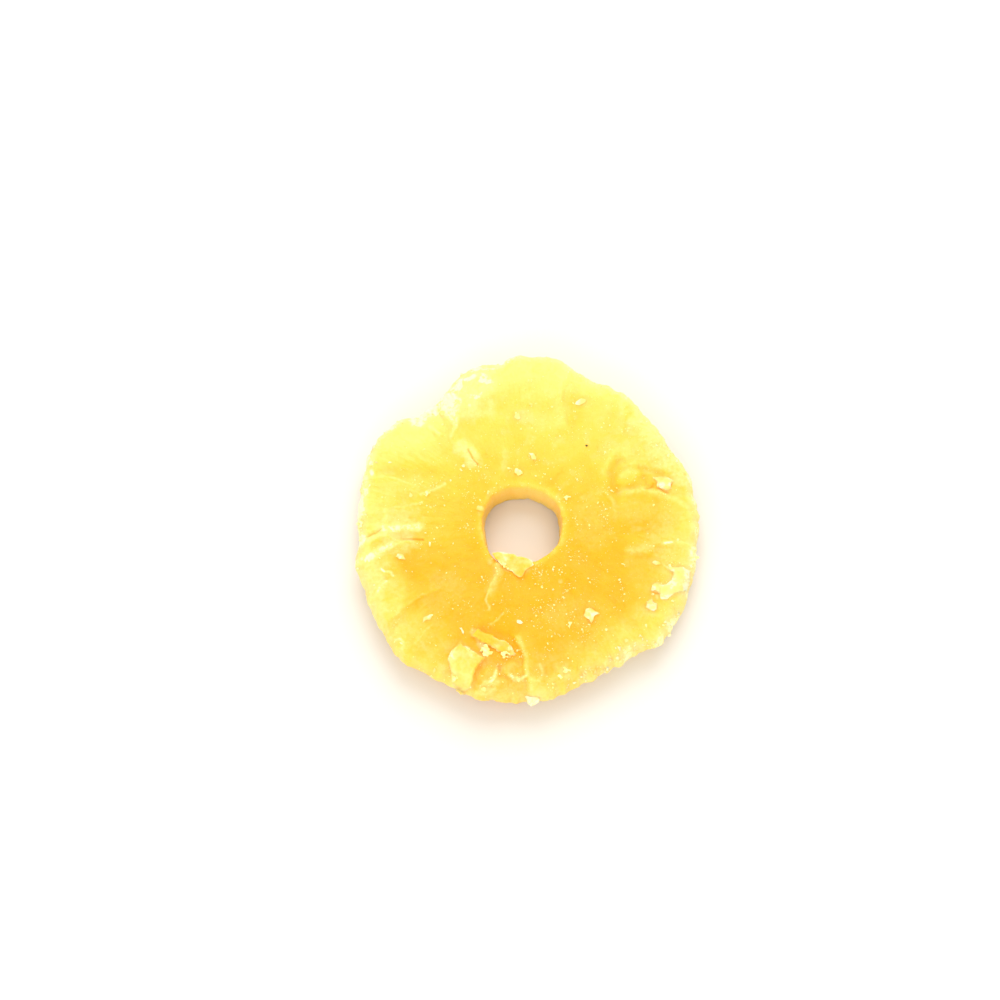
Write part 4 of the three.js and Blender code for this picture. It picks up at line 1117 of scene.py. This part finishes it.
def grain_tree(finish):
    """Strews grains over a surface, thick where its sugar mark is high."""
    tree = bpy.data.node_groups.new("Strewn grains", "GeometryNodeTree")
    tree.is_modifier = True
    for name, way, kind in (
        ("Surface", "INPUT", "Geometry"), ("Grains per square metre", "INPUT", "Float"),
        ("Smallest", "INPUT", "Float"), ("Largest", "INPUT", "Float"), ("Unevenness", "INPUT", "Float"),
        ("Seed", "INPUT", "Int"), ("Grains", "OUTPUT", "Geometry"),
    ):
        tree.interface.new_socket(name, in_out=way, socket_type="NodeSocket" + kind)
    given = tree.nodes.new("NodeGroupInput").outputs

    def add(kind, settings, values, output=0):
        return find_socket(add_node(tree, kind, settings, values).outputs, output)

    def scaled(vector, factor):
        return add("ShaderNodeVectorMath", {"operation": "SCALE"}, {0: vector, "Scale": factor})

    def chance(kind, low, high, seed):
        values = {"Min": low, "Max": high, "Seed": seed}
        return add("FunctionNodeRandomValue", {"data_type": kind}, values, "Value")

    thick = add("GeometryNodeInputNamedAttribute", {"data_type": "FLOAT"}, {"Name": "sugar"}, "Attribute")
    amount = add("ShaderNodeMath", {"operation": "MULTIPLY"}, {0: thick, 1: given["Grains per square metre"]})
    spots = add("GeometryNodeDistributePointsOnFaces", {"distribute_method": "RANDOM"}, {
        "Mesh": given["Surface"], "Density": amount, "Seed": given["Seed"],
    })
    few_large = add("ShaderNodeMath", {"operation": "POWER"}, {0: chance("FLOAT", 0.0, 1.0, 5), 1: 2.2})
    size = add("ShaderNodeMapRange", {}, {
        "Value": few_large, "To Min": given["Smallest"], "To Max": given["Largest"],
    })
    shape = chance("FLOAT_VECTOR", (0.6, 0.5, 0.4), (1.3, 1.1, 0.8), 7)
    strewn = add("GeometryNodeInstanceOnPoints", {}, {
        "Points": spots,
        "Instance": add("GeometryNodeMeshIcoSphere", {}, {"Radius": 0.5, "Subdivisions": 1}),
        "Rotation": chance("FLOAT_VECTOR", (0.0, 0.0, 0.0), (6.28, 6.28, 6.28), 9),  # any way round
        "Scale": scaled(shape, size),
    })
    real = add("GeometryNodeRealizeInstances", {}, {"Geometry": strewn})
    lumpy = add("ShaderNodeTexNoise", {}, {"Scale": 3200.0, "Detail": 0.0}, "Color")
    centred = add("ShaderNodeVectorMath", {"operation": "SUBTRACT"}, {0: lumpy, 1: (0.5, 0.5, 0.5)})
    moved = add("GeometryNodeSetPosition", {}, {
        "Geometry": real, "Offset": scaled(centred, given["Unevenness"]),
    })
    dressed = add("GeometryNodeSetMaterial", {}, {"Geometry": moved, "Material": finish})
    tree.links.new(dressed, tree.nodes.new("NodeGroupOutput").inputs[0])
    return tree


def strew(name, surface, tree, **values):
    """Runs a strewing tree over a surface and keeps the result as a plain mesh."""
    bed = bpy.data.objects.new(name + "_bed", surface.data)
    bpy.context.scene.collection.objects.link(bed)
    modifier = bed.modifiers.new("Strew", "NODES")
    modifier.node_group = tree
    for socket in tree.interface.items_tree:
        key = socket.name.lower().replace(" ", "_")
        if socket.in_out == "INPUT" and key in values:
            modifier[socket.identifier] = values[key]
    evaluated = bed.evaluated_get(bpy.context.evaluated_depsgraph_get())
    mesh = bpy.data.meshes.new_from_object(evaluated)
    mesh.name = name
    bpy.data.objects.remove(bed)
    piece = bpy.data.objects.new(name, mesh)
    bpy.context.scene.collection.objects.link(piece)
    return piece


# ---------------------------------------------------------------- settings


def length(name, description, value):
    """A setting in metres."""
    return FloatProperty(name=name, description=description, unit="LENGTH", default=value)


def amount(name, description, value):
    """A plain number as a setting."""
    return FloatProperty(name=name, description=description, default=value)


def colour(name, description, value):
    """A colour as a setting."""
    return FloatVectorProperty(name=name, description=description, subtype="COLOR", size=3, default=value)


class PineappleSizes(bpy.types.PropertyGroup):
    """Sizes that a user would change."""

    across: length("Across", "The ring's longest way across", CAD_BOX[1][1] - CAD_BOX[0][1])
    grain: length("Largest grain", "Size of the largest strewn sugar grain", 0.00060)
    dust: length("Largest dust grain", "Size of the largest grain of the fine sugar", 0.00032)
    grains: amount("Grains", "Sugar grains on each square metre where they lie thickest", 1.2e6)
    dust_grains: amount("Fine grains", "Fine grains on each square metre where they lie thickest", 3.0e6)
    seed: IntProperty(name="Seed", description="Seed of the strewn sugar", default=4)


class PineappleColours(bpy.types.PropertyGroup):
    """Colours of the flesh, the sugar and the studio."""

    deep: colour("Deep", "Flesh in the golden middle", (0.95, 0.418, 0.006))
    golden: colour("Golden", "Flesh of most of the face", (0.96, 0.488, 0.026))
    yellow: colour("Yellow", "Flesh towards the top and the rim", (0.97, 0.585, 0.070))
    lemon: colour("Lemon", "Flesh at the top lobe and the rim", (0.98, 0.70, 0.18))
    frost: colour("Frost", "Dry crusted flesh", (0.99, 0.74, 0.30))
    white: colour("White", "Crust that has dried out white", (0.99, 0.95, 0.56))
    sugar: colour("Sugar", "Clean sugar crystals", (0.99, 0.90, 0.40))
    syrup: colour("Syrup", "Crystals tinted by syrup", (0.98, 0.81, 0.22))
    peel: colour("Peel", "The dark crumb of peel", (0.03, 0.015, 0.004))
    peel_light: colour("Peel light", "The crumb's lighter spots", (0.09, 0.05, 0.012))
    floor: colour("Floor", "The pale floor", (0.74, 0.73, 0.70))
    sky: colour("Sky", "The even light all round", (1.0, 0.97, 0.92))


class PineappleStudio(bpy.types.PropertyGroup):
    """The light and the camera."""

    sky: amount("Sky", "Strength of the even light all round", 1.0)
    key: amount("Key", "Strength of the large light behind the ring, in watts", 2.9)
    fill: amount("Fill", "Strength of the light beside the camera, in watts", 2.0)
    distance: length("Camera distance", "From the camera to the ring", 0.4)
    lens: FloatProperty(
        name="Lens", description="Focal length in millimetres", subtype="DISTANCE_CAMERA", default=70,
    )
    elevation: FloatProperty(
        name="Elevation", description="How high the camera looks from", subtype="ANGLE", unit="ROTATION",
        default=math.radians(73),
    )


def millimetre(scene):
    """One millimetre of the tables, in metres."""
    return scene.pineapple_sizes.across / ACROSS


# ---------------------------------------------------------------- operators


class FleshOperator(bpy.types.Operator):
    """Build the ring's flesh over its solid"""

    bl_idname = "pineapple.flesh"
    bl_label = "Flesh"

    def execute(self, context):
        scale, colours = millimetre(context.scene), context.scene.pineapple_colours
        finish = flesh_finish("candied_flesh", colours, depth=0.0038, clear=0.8)
        points, marks = flesh_points()
        faces = grid_faces(*points.shape[:2])
        piece = new_piece("ring_flesh", points.reshape(-1, 3), faces, finish, scale, marks=marks)
        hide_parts("pineapple_ring")
        belongs(piece)
        return {"FINISHED"}


class FlakesOperator(bpy.types.Operator):
    """Lay the torn flakes of flesh on the crag, the hole's edge and the lobes"""

    bl_idname = "pineapple.flakes"
    bl_label = "Torn flakes"

    def execute(self, context):
        scale, colours = millimetre(context.scene), context.scene.pineapple_colours
        finish = flesh_finish("torn_flesh", colours, depth=0.0010, paler=0.40, clear=0.7)
        parts = [
            slab(torn_edge(outline, TEAR, SEEDS["torn"] + 9 * k), level, thick, tip, facing)
            for k, (outline, level, thick, tip, facing, _) in enumerate(TORN)
        ]
        sheets = [(outline, thick, pale) for outline, *_, pale, thick in PLATES if thick]
        for k, (outline, thick, _) in enumerate(sheets):
            parts.append(sheet(outline, thick, SEEDS["sheet"] + 9 * k, scale))
        points, faces = melted(parts, voxel=0.11, throw=0.04, seed=SEEDS["crag"])
        marks = crust_marks(points, 0.0, [*TORN, *sheets])
        belongs(new_piece("torn_flakes", points, faces, finish, scale, marks=marks))
        return {"FINISHED"}


class SugarOperator(bpy.types.Operator):
    """Stick the pale chips, crystal clumps and crusted rim lumps on"""

    bl_idname = "pineapple.sugar"
    bl_label = "Sugar lumps"

    def execute(self, context):
        scale, colours = millimetre(context.scene), context.scene.pineapple_colours
        dried = flesh_finish("dried_flesh", colours, depth=0.0005, paler=0.4, clear=0.3)
        outlines = list(FLAKES)
        outlines += [self.chip_outline(*chip, SEEDS["chip"] + 9 * k) for k, chip in enumerate(CHIPS)]
        parts = [self.flake(outline, SEEDS["flake"] + 9 * k, scale) for k, outline in enumerate(outlines)]
        points, faces = melted(parts, voxel=0.085, throw=0.03, seed=SEEDS["chips"])
        belongs(new_piece("pale_chips", points, faces, dried, scale, marks=crust_marks(points, 0.52)))
        clumps = []
        for k, (middle, size, count) in enumerate(CLUMPS):
            height = top_height(*middle, scale) + 0.05 * size
            clumps.append(clump((*middle, height), size, count, SEEDS["clump"] + k))
        for k, (angle, high, size) in enumerate(RIM_LUMPS):
            clumps.append(clump(rim_spot(angle, high, scale), size, 9, SEEDS["rim lump"] + k))
        points, faces = melted(clumps, voxel=0.12, throw=0.05, seed=SEEDS["sugar"])
        belongs(new_piece("sugar_clumps", points, faces, sugar_finish("sugar_crystal", colours), scale))
        return {"FINISHED"}

    @staticmethod
    def chip_outline(middle, length, width, turn, seed):
        """An uneven five- or six-sided outline round a point."""
        c, s = math.cos(math.radians(turn)), math.sin(math.radians(turn))
        sides = 5 + seed % 2
        corners = []
        for k in range(sides):
            angle = FULL_TURN * (k + 0.5 * float(draw(seed + 0.3 * k))) / sides
            reach = 0.8 + 0.35 * float(draw(seed + k + 0.7))
            u, v = math.cos(angle) * reach * length / 2, math.sin(angle) * reach * width / 2
            corners.append((middle[0] + u * c - v * s, middle[1] + u * s + v * c))
        return tuple(corners)

    @staticmethod
    def flake(outline, seed, scale):
        """A thin flake that lies on the flesh, sunk in a little."""
        middle = np.mean(outline, axis=0)
        across = 2 * math.sqrt(max(np.ptp(outline, axis=0).prod(), 0.01) / math.pi)
        thick = 0.24 + 0.12 * across
        level = top_height(*middle, scale) + 0.4 * thick
        tip, facing = flesh_slope(*middle, scale)
        return slab(torn_edge(outline, TEAR, seed, step=0.2), level, 1.6 * thick, min(tip, 50), facing)


class RimOperator(bpy.types.Operator):
    """Stick torn crumbs of flesh all round the rim"""

    bl_idname = "pineapple.rim"
    bl_label = "Rim crumbs"

    def execute(self, context):
        scale, finish = millimetre(context.scene), bpy.data.materials["dried_flesh"]
        crumbs = []
        for k in range(RIM_CRUMBS + RIM_SHARDS):
            a, b, c, d = draw(SEEDS["rim crumb"] + 7.7 * k + np.arange(4)).tolist()
            if k < RIM_CRUMBS:
                angle, high, size = 360 * a, mix(0.15, 0.85, b), mix(0.3, 0.9, c**3)
                if d > 1.3 * radius_at(RIM_FROST, np.array(angle)):
                    continue
            else:
                angle, high, size = mix(*SHARD_ARC, a), mix(0.25, 0.65, b), mix(0.4, 1, c**2)
            sides = (size * mix(0.6, 1.2, d), size, size * 0.8)
            crumbs.append(crystal(rim_spot(angle, high, scale), sides, SEEDS["crumb shape"] + k, corners=7))
        points, faces = joined(crumbs)
        belongs(new_piece("rim_crumbs", points, faces, finish, scale, marks=crust_marks(points, 0.85)))
        return {"FINISHED"}


class GrainsOperator(bpy.types.Operator):
    """Strew sugar grains and finer dust over the flesh"""

    bl_idname = "pineapple.grains"
    bl_label = "Strewn sugar"

    def execute(self, context):
        sizes = context.scene.pineapple_sizes
        surface = bpy.data.objects["ring_flesh"]
        tree = grain_tree(bpy.data.materials["sugar_crystal"])
        for name, count, largest, seed in (
            ("sugar_grains", sizes.grains, sizes.grain, sizes.seed),
            ("sugar_dust", sizes.dust_grains, sizes.dust, sizes.seed + 1),
        ):
            least = LEAST_GRAIN * largest
            belongs(strew(
                name, surface, tree, grains_per_square_metre=count, smallest=least, largest=largest,
                unevenness=least, seed=seed,
            ))
        return {"FINISHED"}


class SpeckOperator(bpy.types.Operator):
    """Drop the dark crumb of peel on the face"""

    bl_idname = "pineapple.speck"
    bl_label = "Peel crumb"

    def execute(self, context):
        scale = millimetre(context.scene)
        middle = (*SPECK, surface_height(*SPECK, scale) + 0.1)
        points, faces = crystal(middle, SPECK_SIZE, SEEDS["speck"])
        finish = peel_finish("dark_peel", context.scene.pineapple_colours)
        belongs(new_piece("peel_crumb", points, faces, finish, scale, smooth=False))
        return {"FINISHED"}


class StageOperator(bpy.types.Operator):
    """Set up the floor, the light and the camera"""

    bl_idname = "pineapple.stage"
    bl_label = "Stage"

    def execute(self, context):
        scene = context.scene
        studio, colours = scene.pineapple_studio, scene.pineapple_colours
        self.floor(colours)
        world = bpy.data.worlds.new("Studio")
        world.use_nodes = True
        sky = world.node_tree.nodes["Background"]
        sky.inputs["Color"].default_value = (*colours.sky, 1.0)
        sky.inputs["Strength"].default_value = studio.sky
        scene.world = world
        self.softbox("Key", KEY_PLACE, studio.key)
        self.softbox("Fill", FILL_PLACE, studio.fill)
        self.camera(scene, studio)
        scene.view_settings.view_transform = "Standard"
        return {"FINISHED"}

    @staticmethod
    def floor(colours):
        """A wide plain floor, which isn't part of the ring."""
        finish = Finish("pale_floor", {"Roughness": 0.8})
        cloud = finish.cloud(finish.place(), 0.02, 2.0)
        shade = tuple(0.985 * channel for channel in colours.floor)
        finish.feed(base_color=finish.blend(cloud, tuple(colours.floor), shade))
        reach = 3000.0
        corners = [(reach * x, reach * y, 0.0) for x, y in ((-1, -1), (1, -1), (1, 1), (-1, 1))]
        new_piece("floor", corners, [(0, 1, 2, 3)], finish.material, 0.001, smooth=False)

    @staticmethod
    def softbox(name, place, power):
        """A square light that faces the ring."""
        light = bpy.data.lights.new(name, "AREA")
        light.size = SOFTBOX
        light.energy = power
        lamp = bpy.data.objects.new(name, light)
        lamp.location = place
        lamp.rotation_euler = (-Vector(place)).to_track_quat("-Z", "Y").to_euler()
        bpy.context.scene.collection.objects.link(lamp)

    @staticmethod
    def camera(scene, studio):
        """Looks down on the face, with the ring a little right of and below the view's middle."""
        lens = bpy.data.cameras.new("Camera")
        lens.lens = studio.lens
        lens.sensor_width = 36.0
        camera = bpy.data.objects.new("Camera", lens)
        scene.collection.objects.link(camera)
        lift = studio.elevation
        back = Vector((0.0, -math.cos(lift), math.sin(lift)))
        up = Vector((0.0, math.sin(lift), math.cos(lift)))
        viewed = Vector(VIEWED)
        aim = viewed + Vector((-VIEW_LEFT, 0.0, 0.0)) + VIEW_UP * up
        camera.location = viewed + back * studio.distance
        behind = (camera.location - aim).normalized()
        right = up.cross(behind).normalized()
        camera.rotation_euler = Matrix((right, behind.cross(right), behind)).transposed().to_euler()
        scene.camera = camera


class PineapplePanel(bpy.types.Panel):
    """The pieces, in the order in which they are made"""

    bl_idname = "VIEW3D_PT_pineapple"
    bl_label = "Candied pineapple ring"
    bl_space_type = "VIEW_3D"
    bl_region_type = "UI"
    bl_category = "Pineapple"

    def draw(self, context):
        for step in STEPS_OF_WORK:
            self.layout.operator(step.bl_idname)


STEPS_OF_WORK = (
    FleshOperator, FlakesOperator, SugarOperator, RimOperator, GrainsOperator, SpeckOperator, StageOperator,
)
GROUPS = {
    "pineapple_sizes": PineappleSizes,
    "pineapple_colours": PineappleColours,
    "pineapple_studio": PineappleStudio,
}


def register():
    for group in GROUPS.values():
        bpy.utils.register_class(group)
    for name, group in GROUPS.items():
        setattr(bpy.types.Scene, name, PointerProperty(type=group))
    for kind in (*STEPS_OF_WORK, PineapplePanel):
        bpy.utils.register_class(kind)


def unregister():
    for kind in reversed((*STEPS_OF_WORK, PineapplePanel)):
        bpy.utils.unregister_class(kind)
    for name in GROUPS:
        delattr(bpy.types.Scene, name)
    for group in reversed(GROUPS.values()):
        bpy.utils.unregister_class(group)


def main():
    register()
    bpy.ops.pineapple.flesh()
    bpy.ops.pineapple.flakes()
    bpy.ops.pineapple.sugar()
    bpy.ops.pineapple.rim()
    bpy.ops.pineapple.grains()
    bpy.ops.pineapple.speck()
    bpy.ops.pineapple.stage()


if __name__ == "__main__":
    main()
